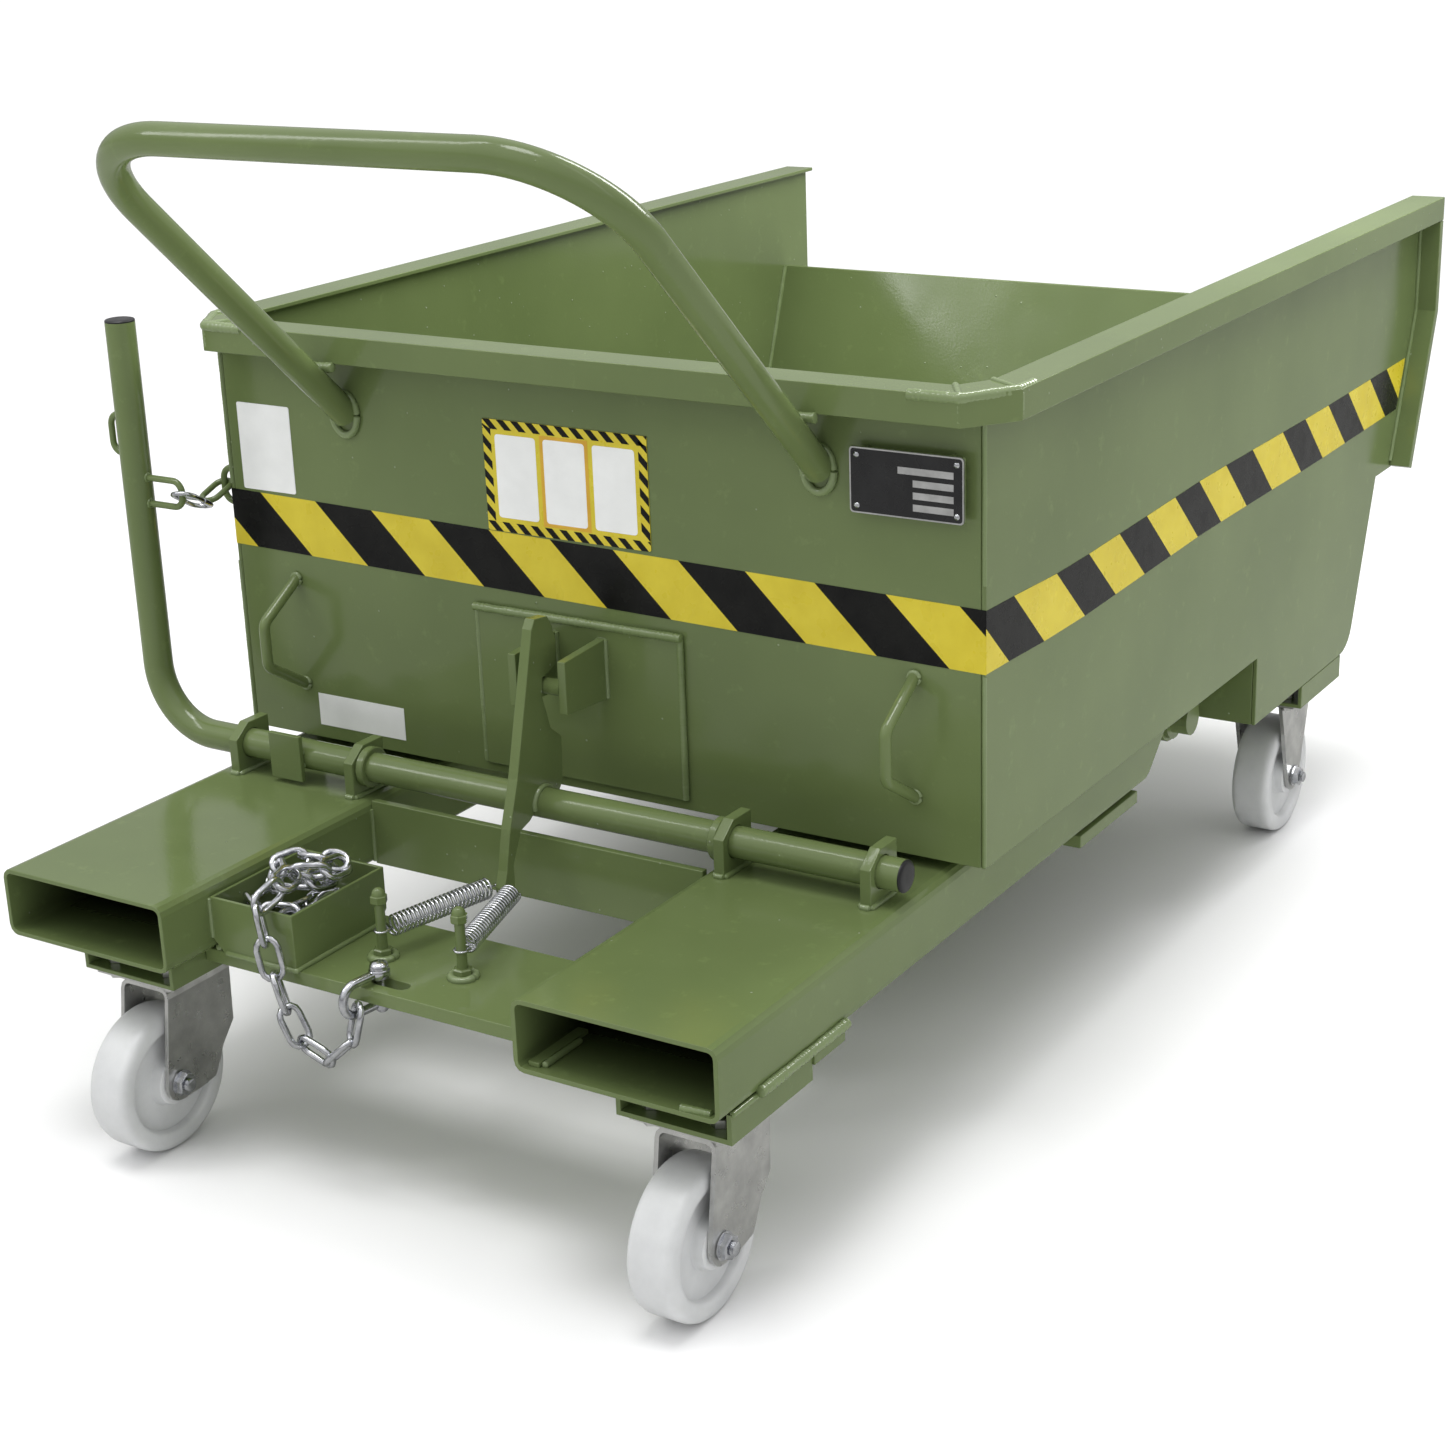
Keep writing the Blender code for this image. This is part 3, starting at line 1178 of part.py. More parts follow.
def rating_bracket():
    """A folded strip that holds the rating plate off the front wall."""
    face = HOPPER_FRONT - GAP
    front = face - PLATE_STAND
    back = front + PLATE_THICK
    left = PLATE_LEFT + 2 * RIVET_INSET
    right = PLATE_RIGHT - 2 * RIVET_INSET
    outline = [
        (left, face), (left, back), (PLATE_LEFT, back), (PLATE_LEFT, front),
        (PLATE_RIGHT, front), (PLATE_RIGHT, back), (right, back), (right, face),
        (right - PLATE_THICK, face), (right - PLATE_THICK, back),
        (left + PLATE_THICK, back), (left + PLATE_THICK, face),
    ]
    return slab("XY", PLATE_LOW, PLATE_HIGH, outline)


def rating_plate():
    """A blank plate on its folded bracket, with a domed rivet in each corner."""
    front = HOPPER_FRONT - GAP - PLATE_STAND
    plate = slab("XZ", front - PLATE_THICK, front + PLATE_THICK / 2,
                 rectangle(PLATE_LEFT, PLATE_LOW, PLATE_RIGHT, PLATE_HIGH))
    rivet = [
        (0, PLATE_THICK / 2), (RIVET_RADIUS, PLATE_THICK / 2), (RIVET_RADIUS, -RIVET_HEAD / 2),
        (RIVET_RADIUS / 2, -RIVET_HEAD), (0, -RIVET_HEAD),
    ]
    rivets = [
        turned(rivet, (x, front - PLATE_THICK, z), "Y", BOLT_COUNT, closed=False)
        for x in (PLATE_LEFT + RIVET_INSET, PLATE_RIGHT - RIVET_INSET)
        for z in (PLATE_LOW + RIVET_INSET, PLATE_HIGH - RIVET_INSET)
    ]
    return combine(rating_bracket(), [plate] + rivets, "UNION")


fit("rating_plate", PLATE, "hopper", rating_plate())


# Wire links, and the chain: a heap in the box, a stretch over its front, and the last link on the shackle

def link(centre, along, face, length, half_width, wire):
    """A round-ended link: `length` between its ends' middles runs `along`, its flat side faces `face`."""
    along = along.normalized()
    across = face.cross(along).normalized()
    straight = length / 2 - half_width
    half = CHAIN_POINTS // 2
    path = []
    for end in (1, -1):
        for step in range(half):
            angle = math.pi * (step / (half - 1) - 1 / 2)
            path.append(centre + along * end * (straight + half_width * math.cos(angle))
                        + across * end * half_width * math.sin(angle))
    return tube(path, wire, FORM_RESOLUTION, closed=True)


def chain_link(centre, along, face):
    """A link of the chain."""
    length = CHAIN_PITCH + 2 * CHAIN_WIRE - CHAIN_BITE
    return link(centre, along, face, length, CHAIN_HALF_WIDTH, CHAIN_WIRE)


def chain():
    """All links in one body, joined where they touch: each hanging one starts where the last one ends."""
    joint = Vector(CHAIN_START)
    links = []
    for angle_deg, lean_deg, face in CHAIN_HANGING:
        angle = math.radians(angle_deg)
        lean = math.radians(lean_deg)
        along = Vector((math.cos(angle) * math.cos(lean), math.sin(lean), math.sin(angle) * math.cos(lean)))
        following = joint + along * CHAIN_PITCH
        links.append(chain_link((joint + following) / 2, along, Vector(face)))
        joint = following
    print("chain ends at", [round(v, 4) for v in joint])
    joint = Vector(CHAIN_START)
    for toward, face in (CHAIN_OVER_EDGE, CHAIN_TO_HEAP):
        along = Vector(toward).normalized()
        following = joint - along * CHAIN_PITCH
        links.append(chain_link((joint + following) / 2, along, Vector(face)))
        joint = following
    height = POCKET_BOTTOM + CHAIN_BITE - CHAIN_WIRE * WIRE_FLAT_SHARE
    for places, turn_deg in zip(HEAP_UPRIGHT, HEAP_UPRIGHT_TURN_DEG):
        turn = math.radians(turn_deg)
        along = Vector((math.cos(turn), math.sin(turn), 0))
        across = Vector((-math.sin(turn), math.cos(turn), 0))
        height += CHAIN_HALF_WIDTH + CHAIN_WIRE - CHAIN_BITE
        links += [chain_link(Vector((x, y, height)), along, across) for x, y in places]
        height += CHAIN_HALF_WIDTH + CHAIN_WIRE
    for places, turns_deg in zip(HEAP_FLAT, HEAP_FLAT_TURNS_DEG):
        height += CHAIN_WIRE - CHAIN_BITE
        for (x, y), turn_deg in zip(places, turns_deg):
            turn = math.radians(turn_deg)
            along = Vector((math.cos(turn), math.sin(turn), 0))
            links.append(chain_link(Vector((x, y, height)), along, Vector((0, 0, 1))))
        height += CHAIN_WIRE
    return combine(links[0], links[1:], "UNION")


fit("chain", ZINC, "base", chain())


def wall_link():
    """The painted link through the side wall's loop, drooping forward."""
    drop = math.radians(WALL_LINK_DROP_DEG)
    along = Vector((0, math.cos(drop), math.sin(drop)))
    hold = Vector((-HOPPER_HALF - WALL_LOOP_REACH, WALL_LOOP_Y, WALL_LOOP_Z))
    reach = WALL_LINK_LENGTH / 2 - 2 * LOOP_WIRE + CHAIN_BITE
    return link(hold - along * reach, along, Vector((0, 0, 1)), WALL_LINK_LENGTH, CHAIN_HALF_WIDTH, LOOP_WIRE)


def snap_hook():
    """A long wire ring through the lever's right-hand loop, its far end beside the wall's link."""
    hold = Vector((LEVER_X + SHAFT_RADIUS + RIGHT_LOOP_REACH, SHAFT_Y, RIGHT_LOOP_Z))
    along = Vector(SNAP_AHEAD).normalized()
    level = math.hypot(along.x, along.y)
    reach = SNAP_LENGTH / 2 - (LOOP_WIRE + SNAP_WIRE + 2 * RUNNING) / level
    return link(hold + along * reach, along, Vector((0, 0, 1)), SNAP_LENGTH, SNAP_HALF_WIDTH, SNAP_WIRE)


wall_ring = side_loop(
    -HOPPER_HALF, -1, GAP, WALL_LOOP_REACH, WALL_LOOP_Y, WALL_LOOP_Z, WALL_LOOP_HALF)
fit("wall_loop", PAINT, "hopper", combine(wall_ring, [wall_link()], "UNION"))
fit("snap_hook", ZINC, "latch", snap_hook())


# Shackle in the plate's slot

def shackle():
    """A bow drawn forward from its two eyes, one above and one below the front plate's slot."""
    turn = math.radians(SHACKLE_BOW_TURN_DEG)
    forward = Vector((-math.sin(turn), -math.cos(turn), 0))
    pin = Vector((SHACKLE_X, FRONT_SLOT_Y, slot_middle))
    rise = Vector((0, 0, SHACKLE_HALF_HEIGHT))
    start = forward * (SHACKLE_PIN_RADIUS + SHACKLE_EYE) / 2
    bow = forward * SHACKLE_BOW_REACH
    path = bent([pin + rise + start, pin + rise + bow, pin - rise + bow, pin - rise + start],
                SHACKLE_HALF_HEIGHT - GAP, ARC_COUNT)
    bore = SHACKLE_PIN_RADIUS + RUNNING
    eye = [
        (bore, SHACKLE_WIRE), (SHACKLE_EYE, SHACKLE_WIRE), (SHACKLE_EYE, -SHACKLE_WIRE), (bore, -SHACKLE_WIRE),
    ]
    eyes = [turned(eye, pin + lift, "Z", PIN_COUNT) for lift in (rise, -rise)]
    return combine(tube(path, SHACKLE_WIRE, WIRE_RESOLUTION), eyes, "UNION")


def shackle_pin():
    """The pin through both eyes and the slot, with its head on top."""
    high = slot_middle + SHACKLE_HALF_HEIGHT + SHACKLE_WIRE + GAP
    low = slot_middle - SHACKLE_HALF_HEIGHT - 2 * SHACKLE_WIRE
    return turned([
        (0, high + SHACKLE_HEAD), (SHACKLE_HEAD_RADIUS * 2 / 3, high + SHACKLE_HEAD),
        (SHACKLE_HEAD_RADIUS, high + SHACKLE_HEAD * 2 / 3), (SHACKLE_HEAD_RADIUS, high),
        (SHACKLE_PIN_RADIUS, high), (SHACKLE_PIN_RADIUS, low), (0, low),
    ], (SHACKLE_X, FRONT_SLOT_Y, 0), "Z", PIN_COUNT, closed=False)


slot_middle = POCKET_BOTTOM - GAP - CROSS_PLATE / 2
fit("shackle", ZINC, "base", shackle())
fit("shackle_pin", ZINC, "base", shackle_pin())


# Round pieces shaded smooth, and the origin in the middle of the footprint

for piece in parts.objects:
    if piece.type == "MESH":
        piece.data.shade_smooth()
        piece.data.set_sharp_from_angle(angle=math.radians(SHARP_DEG))

bpy.context.view_layer.update()
depsgraph = bpy.context.evaluated_depsgraph_get()
places = []
for piece in parts.objects:
    finished = piece.evaluated_get(depsgraph)
    places += [piece.matrix_world @ vertex.co for vertex in finished.to_mesh().vertices]
    finished.to_mesh_clear()

middle_x = (min(place.x for place in places) + max(place.x for place in places)) / 2
middle_y = (min(place.y for place in places) + max(place.y for place in places)) / 2
bodies["base"][0].location = (-middle_x, -middle_y, 0)
print("origin moved to", round(middle_x, 6), round(middle_y, 6))
bpy.context.view_layer.update()
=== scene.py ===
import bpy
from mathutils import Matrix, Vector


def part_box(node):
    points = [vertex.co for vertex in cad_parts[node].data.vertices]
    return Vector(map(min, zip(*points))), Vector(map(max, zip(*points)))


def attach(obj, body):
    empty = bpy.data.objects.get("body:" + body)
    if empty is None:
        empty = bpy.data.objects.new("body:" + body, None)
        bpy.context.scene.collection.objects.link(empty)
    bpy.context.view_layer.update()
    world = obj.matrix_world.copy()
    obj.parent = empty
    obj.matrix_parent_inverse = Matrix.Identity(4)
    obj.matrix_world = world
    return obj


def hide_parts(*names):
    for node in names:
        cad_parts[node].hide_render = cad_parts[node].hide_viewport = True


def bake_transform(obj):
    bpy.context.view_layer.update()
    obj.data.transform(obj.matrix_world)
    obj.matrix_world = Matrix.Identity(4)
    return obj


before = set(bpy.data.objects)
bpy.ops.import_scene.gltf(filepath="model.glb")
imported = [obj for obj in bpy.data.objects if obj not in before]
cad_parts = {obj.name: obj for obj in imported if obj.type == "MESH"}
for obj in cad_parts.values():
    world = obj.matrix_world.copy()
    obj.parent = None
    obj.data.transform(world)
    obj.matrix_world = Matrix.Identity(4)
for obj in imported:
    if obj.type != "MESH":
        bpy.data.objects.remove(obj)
"""Looks of the tipping skip: paint, welds, tape, castors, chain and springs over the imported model.

Places are written in the skip's working frame: X = 0 midway between the fork pockets, Y = 0 at their
mouths, Z = 0 on the ground, -Y towards the operator. Every piece is moved by SHIFT into the model's frame.
"""
import random
from math import cos, pi, radians, sin, tan

import bpy
from mathutils import Matrix, Vector

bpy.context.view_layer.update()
left_low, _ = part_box("fork_pocket_left")
_, right_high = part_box("fork_pocket_right")
SHIFT = Vector(((left_low.x + right_high.x) / 2, left_low.y, 0))
random.seed(7)

# Camera
CAMERA_PLACE = (1.2273, -1.3394, 1.0578)
CAMERA_RIGHT = (0.847703, 0.529395, -0.033776)
CAMERA_VIEW = (-0.508509, 0.792827, -0.335924)
CAMERA_LENS = 63.6

# Base
POCKET_INNER = 0.174
POCKET_WIDTH = 0.180
POCKET_WALL = 0.004
POCKET_BOTTOM = 0.185
POCKET_TOP = 0.245
# Painted shade inside the fork pockets: it starts at the mouth depth and is full at the dark depth
MOUTH_DEPTH = 0.010
DARK_DEPTH = 0.095
MASK_BLUR = 0.0003
FRONT_PLATE = (0.058, 0.180)
UPRIGHT_PLATE = (0.265, 0.272)
BOX_SIDES = (-0.1735, -0.085)
BOX_ENDS = (0.055, 0.172)
BOX_TOP = 0.234
POST_X = 0.041
POST_Y = 0.112
POST_RADIUS = 0.0043
SPRING_WIRE = 0.0011
SPRING_RADIUS = 0.0083
SPRING_TURNS = 24
SPRING_STEPS = 16
SPRING_FOOT_Z = 0.209
SPRING_LEAD = 0.0045
SPRING_TAIL = 0.009
SLOT_PIN_X = -0.0154
SLOT_Y = 0.076
SLOT_Z = 0.1787

# Latch
SHAFT_RADIUS = 0.0135
SHAFT_Y = 0.281
SHAFT_Z = 0.270
SHAFT_END_X = 0.352
LEVER_X = -0.432
LEVER_TOP = 0.650
LEVER_BEND = 0.062
BRACKET_X = (-0.328, -0.193, 0.193, 0.328)
BRACKET_THICK = 0.010
BRACKET_ENDS = (0.260, 0.304)
COLLAR_RADIUS = 0.0185
COLLAR_X = 0.1837
COLLAR_WIDTH = 0.008
STOP_SIDES = (-0.286, -0.250)
STOP_WELD_Y = 0.2677
STOP_WELD_HEIGHTS = (0.2760, 0.2640)
LATCH_PLATE_HALF = 0.0055
LOOP_WIRE = 0.003
# Wire loops on the lever: side, how far each stands out, its height and half its length
LEVER_LOOPS = ((-1, 0.0125, 0.547, 0.018), (1, 0.041, 0.497, 0.012))
HOOK_LENGTH = 0.058
HOOK_HALF = 0.0098
HOOK_HEADING = (-0.020, 0.052, -0.027)
TIP_Y = 0.2265
TIP_Z = 0.2115

# Hopper
HALF = 0.3865
FRONT = 0.353
FLOOR = 0.255
TOP = 0.6436
STEP_Y = 0.950
DEEP_FLOOR = 0.185
RIM_BOTTOM = 0.619
RIM_CORNERS = ((0.378, 0.3265), (0.409, 0.369))
RIM_INNER_CORNERS = ((0.3557, 0.3625), (0.373, 0.3913))
DUMP_BEND = (1.202, 0.220)
DUMP_RADIUS = 0.035
DUMP_SLOPE_DEG = 69.9
DUMP_LIP_Z = 0.532
FLANGE_KNEE = (1.405, 0.521)
FLANGE_TOE = (1.342, 0.360)
HANDLE_RADIUS = 0.01285
HANDLE_HALF = 0.241
HANDLE_Y = 0.060
HANDLE_Z = 0.845
HANDLE_FOOT_Z = 0.569
HANDLE_BEND = 0.095
HANDLE_FOOT_STRETCH = 1.36
RIM_WELD_HALF = 0.015
GRAB_HANDLES = (("left", -0.316), ("right", 0.324))
GRAB_TOP = 0.409
GRAB_LOW = 0.306
GRAB_STAND = 0.050
GRAB_SLANT = 0.30
GRAB_BEND = 0.011
GRAB_RADIUS = 0.0050
BACKING = (-0.106, 0.265, 0.103, 0.409)
PIN_Y = 0.2965
PIN_Z = 0.370
KEEPER_FACES = (0.0215, 0.0295)
KEEPER_WELD = (0.3460, 0.3995)
WALL_LOOP_Y = 0.357
WALL_LOOP_Z = 0.488

# Sign, board and labels: left, low, right and high edges on the front wall, then their details
SIGN = (0.2745, 0.5405, 0.3735, 0.5930)
SIGN_STAND = 0.0103
SIGN_TAB = (0.0120, 0.0135)
SIGN_MARGIN = 0.0012
SIGN_RIVET = 0.006
BOARD = (-0.090, 0.481, 0.078, 0.579)
BOARD_BORDER = 0.0085
BOARD_PITCH = 0.0075
LABEL_SIDE = (-0.370, 0.4880, -0.308, 0.5685)
LABEL_LOW = (-0.303, 0.268, -0.202, 0.299)
LABEL_FRONT = FRONT - 0.0004

# Castors
WHEEL_RADIUS = 0.0625
FRONT_CASTORS = (("left", -0.238), ("right", 0.302))
REAR_CASTORS = (("left", -0.334), ("right", 0.334))
FRONT_CASTOR_Y = 0.075
FRONT_AXLE_Y = 0.037
REAR_AXLE_Y = 1.143
FORK_OUTER = 0.027
NUT_TOP = 0.0078
CASTOR_PLATE_HALF = 0.0500
CASTOR_PLATE_WELD = (0.019, 0.132)

# Tape
TAPE_WIDTH = 0.0525
TAPE_THICK = 0.0003
TAPE_LIFT = 0.00002
TAPE_END = 1.369
TAPE_END_Z = 0.4745
TAPE_END_CUT = 0.022
TAPE_FRONT_FIRST = -0.351
TAPE_FRONT_PITCH = 0.065
TAPE_LEAN = 0.056
TAPE_FRONT_TOP = ((-0.3865, 0.486), (0.3865, 0.4715))
TAPE_SIDE_TOP = (
    (0.200, 0.4715), (0.353, 0.4715), (0.500, 0.4663), (0.800, 0.4735), (1.100, 0.4720),
    (1.375, 0.4745), (1.500, 0.4760),
)
TAPE_LEFT_TOP = ((0.200, 0.486), (0.353, 0.486), (0.700, 0.4800), (1.375, 0.4745), (1.500, 0.4745))
TAPE_SIDE_EDGES = (
    0.2700, 0.3370, 0.4021, 0.4809, 0.5440, 0.6060, 0.6643, 0.7273, 0.7837, 0.8483, 0.9158, 0.9958, 1.0589,
    1.1255, 1.1858, 1.2537, 1.3074, TAPE_END + 0.004,
)

# Weld beads: the radius of each kind and the length of its ripples
BEAD_STEP = 0.0011
SHORT_BEAD_STEP = 0.0004
BEADS = {
    "handle_foot": (0.0034, 0.0030), "handle_rim": (0.0045, 0.0040), "grab_foot": (0.0023, 0.0030),
    "latch_plate": (0.0026, 0.0030), "stop_plate": (0.0026, 0.0030), "loop_foot": (0.0015, 0.0030),
    "post_foot": (0.0036, 0.0040), "front_plate": (0.0032, 0.0030), "upright_plate": (0.0026, 0.0030),
    "bracket_side": (0.0028, 0.0030), "bracket_front": (0.0030, 0.0030), "box_foot": (0.0024, 0.0030),
    "box_corner": (0.0022, 0.0030), "castor_plate": (0.0026, 0.0030), "pocket_bar": (0.0030, 0.0030),
    "pocket_mouth": (0.0034, 0.0042), "front_channel": (0.0046, 0.0060), "backing_edge": (0.0031, 0.0030),
    "backing_top": (0.0040, 0.0042), "wall_corner": (0.0019, 0.0030), "keeper": (0.0023, 0.0030),
    "rim_seam": (0.0028, 0.0040), "rim_face": (0.0032, 0.0040), "rim_corner": (0.0048, 0.0046),
    "edge_flange": (0.0024, 0.0030), "dump_plate": (0.0030, 0.0030), "floor_plate": (0.0028, 0.0030),
    "inner_corner": (0.0024, 0.0030),
}

FLOOR_REACH = 60
UP = Vector((0, 0, 1))


# Shapes: each is a pair of corner places and faces

def join(shapes):
    """Several shapes as one."""
    places, faces = [], []
    for more_places, more_faces in shapes:
        start = len(places)
        places += more_places
        faces += [[start + i for i in face] for face in more_faces]
    return places, faces


def sweep(path, radius, sides=20, closed=False):
    """A round bar along a path; the radius is one size or one per point."""
    path = [Vector(p) for p in path]
    count = len(path)
    radii = radius if isinstance(radius, list) else [radius] * count
    places = []
    side = None
    for i, middle in enumerate(path):
        before = path[i - 1] if closed or i else middle
        after = path[(i + 1) % count] if closed or i < count - 1 else middle
        along = (after - before).normalized()
        side = along.orthogonal() if side is None else side - along * side.dot(along)
        side.normalize()
        up = along.cross(side)
        for k in range(sides):
            angle = 2 * pi * k / sides
            places.append(middle + (side * cos(angle) + up * sin(angle)) * radii[i])
    faces = []
    turn = 0
    if closed:
        last = places[-sides]
        turn = min(range(sides), key=lambda k: (places[k] - last).length)
    for i in range(count if closed else count - 1):
        following = (i + 1) % count
        offset = turn if following == 0 else 0
        for k in range(sides):
            a = i * sides + k
            b = i * sides + (k + 1) % sides
            c = following * sides + (k + 1 + offset) % sides
            d = following * sides + (k + offset) % sides
            faces.append([a, b, c, d])
    if not closed:
        faces.append(list(range(sides))[::-1])
        faces.append([(count - 1) * sides + k for k in range(sides)])
    return places, faces


AXES = {
    "X": Matrix.Rotation(radians(90), 3, "Y"),
    "Y": Matrix.Rotation(radians(-90), 3, "X"),
    "Z": Matrix.Identity(3),
}


def lathe(profile, at, axis, count=48):
    """A turned shape: (radius, height) along its outline, spun about an axis through a place."""
    at = Vector(at)
    places, rings = [], []
    for radius, height in profile:
        if radius == 0:
            rings.append([len(places)] * count)
            places.append(at + AXES[axis] @ Vector((0, 0, height)))
            continue
        rings.append([len(places) + k for k in range(count)])
        for k in range(count):
            angle = 2 * pi * k / count
            spoke = Vector((radius * cos(angle), radius * sin(angle), height))
            places.append(at + AXES[axis] @ spoke)
    faces = []
    for one, two in zip(rings, rings[1:]):
        for k in range(count):
            corners = [one[k], one[(k + 1) % count], two[(k + 1) % count], two[k]]
            faces.append(list(dict.fromkeys(corners)))
    return places, faces


def prism(plane, low, high, outline):
    """A flat plate: an outline in a plane, thick from one place to another along the plane's normal."""
    places = []
    for level in (low, high):
        for u, v in outline:
            place = {"XY": (u, v, level), "XZ": (u, level, v), "YZ": (level, u, v)}[plane]
            places.append(Vector(place))
    count = len(outline)
    faces = [list(range(count))[::-1], [count + i for i in range(count)]]
    faces += [[i, (i + 1) % count, count + (i + 1) % count, count + i] for i in range(count)]
    return places, faces


def rectangle(u0, v0, u1, v1):
    """The four corners of a rectangle."""
    return [(u0, v0), (u1, v0), (u1, v1), (u0, v1)]


def soft_rectangle(u0, v0, u1, v1, radius, steps=4):
    """A rectangle with round corners."""
    outline = []
    for (cu, cv), start in (
        ((u1 - radius, v0 + radius), -90), ((u1 - radius, v1 - radius), 0),
        ((u0 + radius, v1 - radius), 90), ((u0 + radius, v0 + radius), 180),
    ):
        for step in range(steps + 1):
            angle = radians(start + 90 * step / steps)
            outline.append((cu + radius * cos(angle), cv + radius * sin(angle)))
    return outline


def bent(points, radius, steps=10):
    """The same path with each inner corner turned into a round bend."""
    points = [Vector(p) for p in points]
    path = [points[0]]
    for before, corner, after in zip(points, points[1:], points[2:]):
        back = (before - corner).normalized()
        ahead = (after - corner).normalized()
        half = back.angle(ahead) / 2
        centre = corner + (back + ahead).normalized() * (radius / sin(half))
        first = corner + back * (radius / tan(half)) - centre
        last = corner + ahead * (radius / tan(half)) - centre
        sweep_angle = pi - 2 * half
        for step in range(steps + 1):
            share = step / steps
            weight_a = sin((1 - share) * sweep_angle) / sin(sweep_angle)
            weight_b = sin(share * sweep_angle) / sin(sweep_angle)
            path.append(centre + first * weight_a + last * weight_b)
    path.append(points[-1])
    return path


def spaced(path, step):
    """Points at even steps along a path."""
    path = [Vector(p) for p in path]
    places = [path[0]]
    left = step
    for a, b in zip(path, path[1:]):
        length = (b - a).length
        done = 0.0
        while length - done >= left:
            done += left
            places.append(a.lerp(b, done / length))
            left = step
        left -= length - done
    if (path[-1] - places[-1]).length > step / 3:
        places.append(path[-1])
    return places


def ring(centre, radius, axis, start_deg=0, end_deg=360, steps=24, stretch=1.0):
    """Points on a circle about an axis; the second direction can be stretched."""
    centre = Vector(centre)
    path = []
    for step in range(steps + 1):
        angle = radians(start_deg + (end_deg - start_deg) * step / steps)
        u, v = radius * cos(angle), radius * stretch * sin(angle)
        path.append(centre + {"X": Vector((0, u, v)), "Y": Vector((u, 0, v)), "Z": Vector((u, v, 0))}[axis])
    return path


def bead(kind, path):
    """A weld bead: a low, uneven bar with the ripples that the weld pool leaves."""
    radius, ripple = BEADS[kind]
    places = spaced(path, BEAD_STEP)
    if len(places) < 4:
        places = spaced(path, SHORT_BEAD_STEP)
    phase = random.uniform(0, pi)
    radii = []
    wander = 0.0
    for i, _ in enumerate(places):
        wander = 0.9 * wander + random.uniform(-0.035, 0.035)
        wave = abs(sin(pi * i * BEAD_STEP / ripple + phase))
        radii.append(radius * (0.92 + 0.09 * wave + wander))
    radii[0] *= 0.45
    radii[-1] *= 0.45
    return sweep(places, radii, sides=10)


def link(centre, along, face, length, half_width, wire, steps=7, sides=12):
    """A round-ended wire link."""
    along = along.normalized()
    across = face.cross(along).normalized()
    straight = length / 2 - half_width
    path = []
    for end in (1, -1):
        for step in range(steps):
            angle = pi * (step / (steps - 1) - 1 / 2)
            path.append(centre + along * end * (straight + half_width * cos(angle))
                        + across * end * half_width * sin(angle))
    return sweep(path, wire, sides, closed=True)


# Materials

def feed(tree, node, inputs):
    """Sets inputs of a node, each to a number, a colour or another node's output."""
    for key, value in inputs.items():
        if isinstance(value, bpy.types.NodeSocket):
            tree.links.new(value, node.inputs[key])
        else:
            node.inputs[key].default_value = value


def fed(tree, kind, inputs):
    """A new node of a kind with its inputs set."""
    node = tree.nodes.new("ShaderNode" + kind)
    feed(tree, node, inputs)
    return node


def shader_of(name, roughness, metallic=0.0):
    """A new material with its node tree, its shader and its place texture."""
    look = bpy.data.materials.new(name)
    look.use_nodes = True
    tree = look.node_tree
    shader = tree.nodes["Principled BSDF"]
    feed(tree, shader, {"Specular IOR Level": 0.40, "Roughness": roughness, "Metallic": metallic})
    place = tree.nodes.new("ShaderNodeTexCoord")
    return look, tree, shader, place


def noise(tree, place, scale, detail=2.0, roughness=0.5):
    """A noise texture over the object's own places."""
    return fed(tree, "TexNoise", {
        "Scale": scale, "Detail": detail, "Roughness": roughness, "Vector": place.outputs["Object"],
    }).outputs["Fac"]


def spread(tree, value, low, high, to_low, to_high):
    """A value moved from one range to another."""
    return fed(tree, "MapRange", {
        "From Min": low, "From Max": high, "To Min": to_low, "To Max": to_high, "Value": value,
    }).outputs["Result"]


def mixed(tree, share, one, two):
    """A colour between two colours."""
    node = tree.nodes.new("ShaderNodeMix")
    node.data_type = "RGBA"
    one, two = ((*colour, 1) if isinstance(colour, tuple) else colour for colour in (one, two))
    feed(tree, node, {"Factor": share, "A": one, "B": two})
    return node.outputs["Result"]


def bumped(tree, height, distance, strength=1.0, below=None):
    """A bump from a height, laid over another bump."""
    inputs = {"Distance": distance, "Strength": strength, "Height": height}
    if below:
        inputs["Normal"] = below
    return fed(tree, "Bump", inputs).outputs["Normal"]


def reckoned(tree, operation, *values):
    """The outcome of a math node on values, each a number or a socket."""
    node = tree.nodes.new("ShaderNodeMath")
    node.operation = operation
    feed(tree, node, dict(enumerate(values)))
    return node.outputs["Value"]


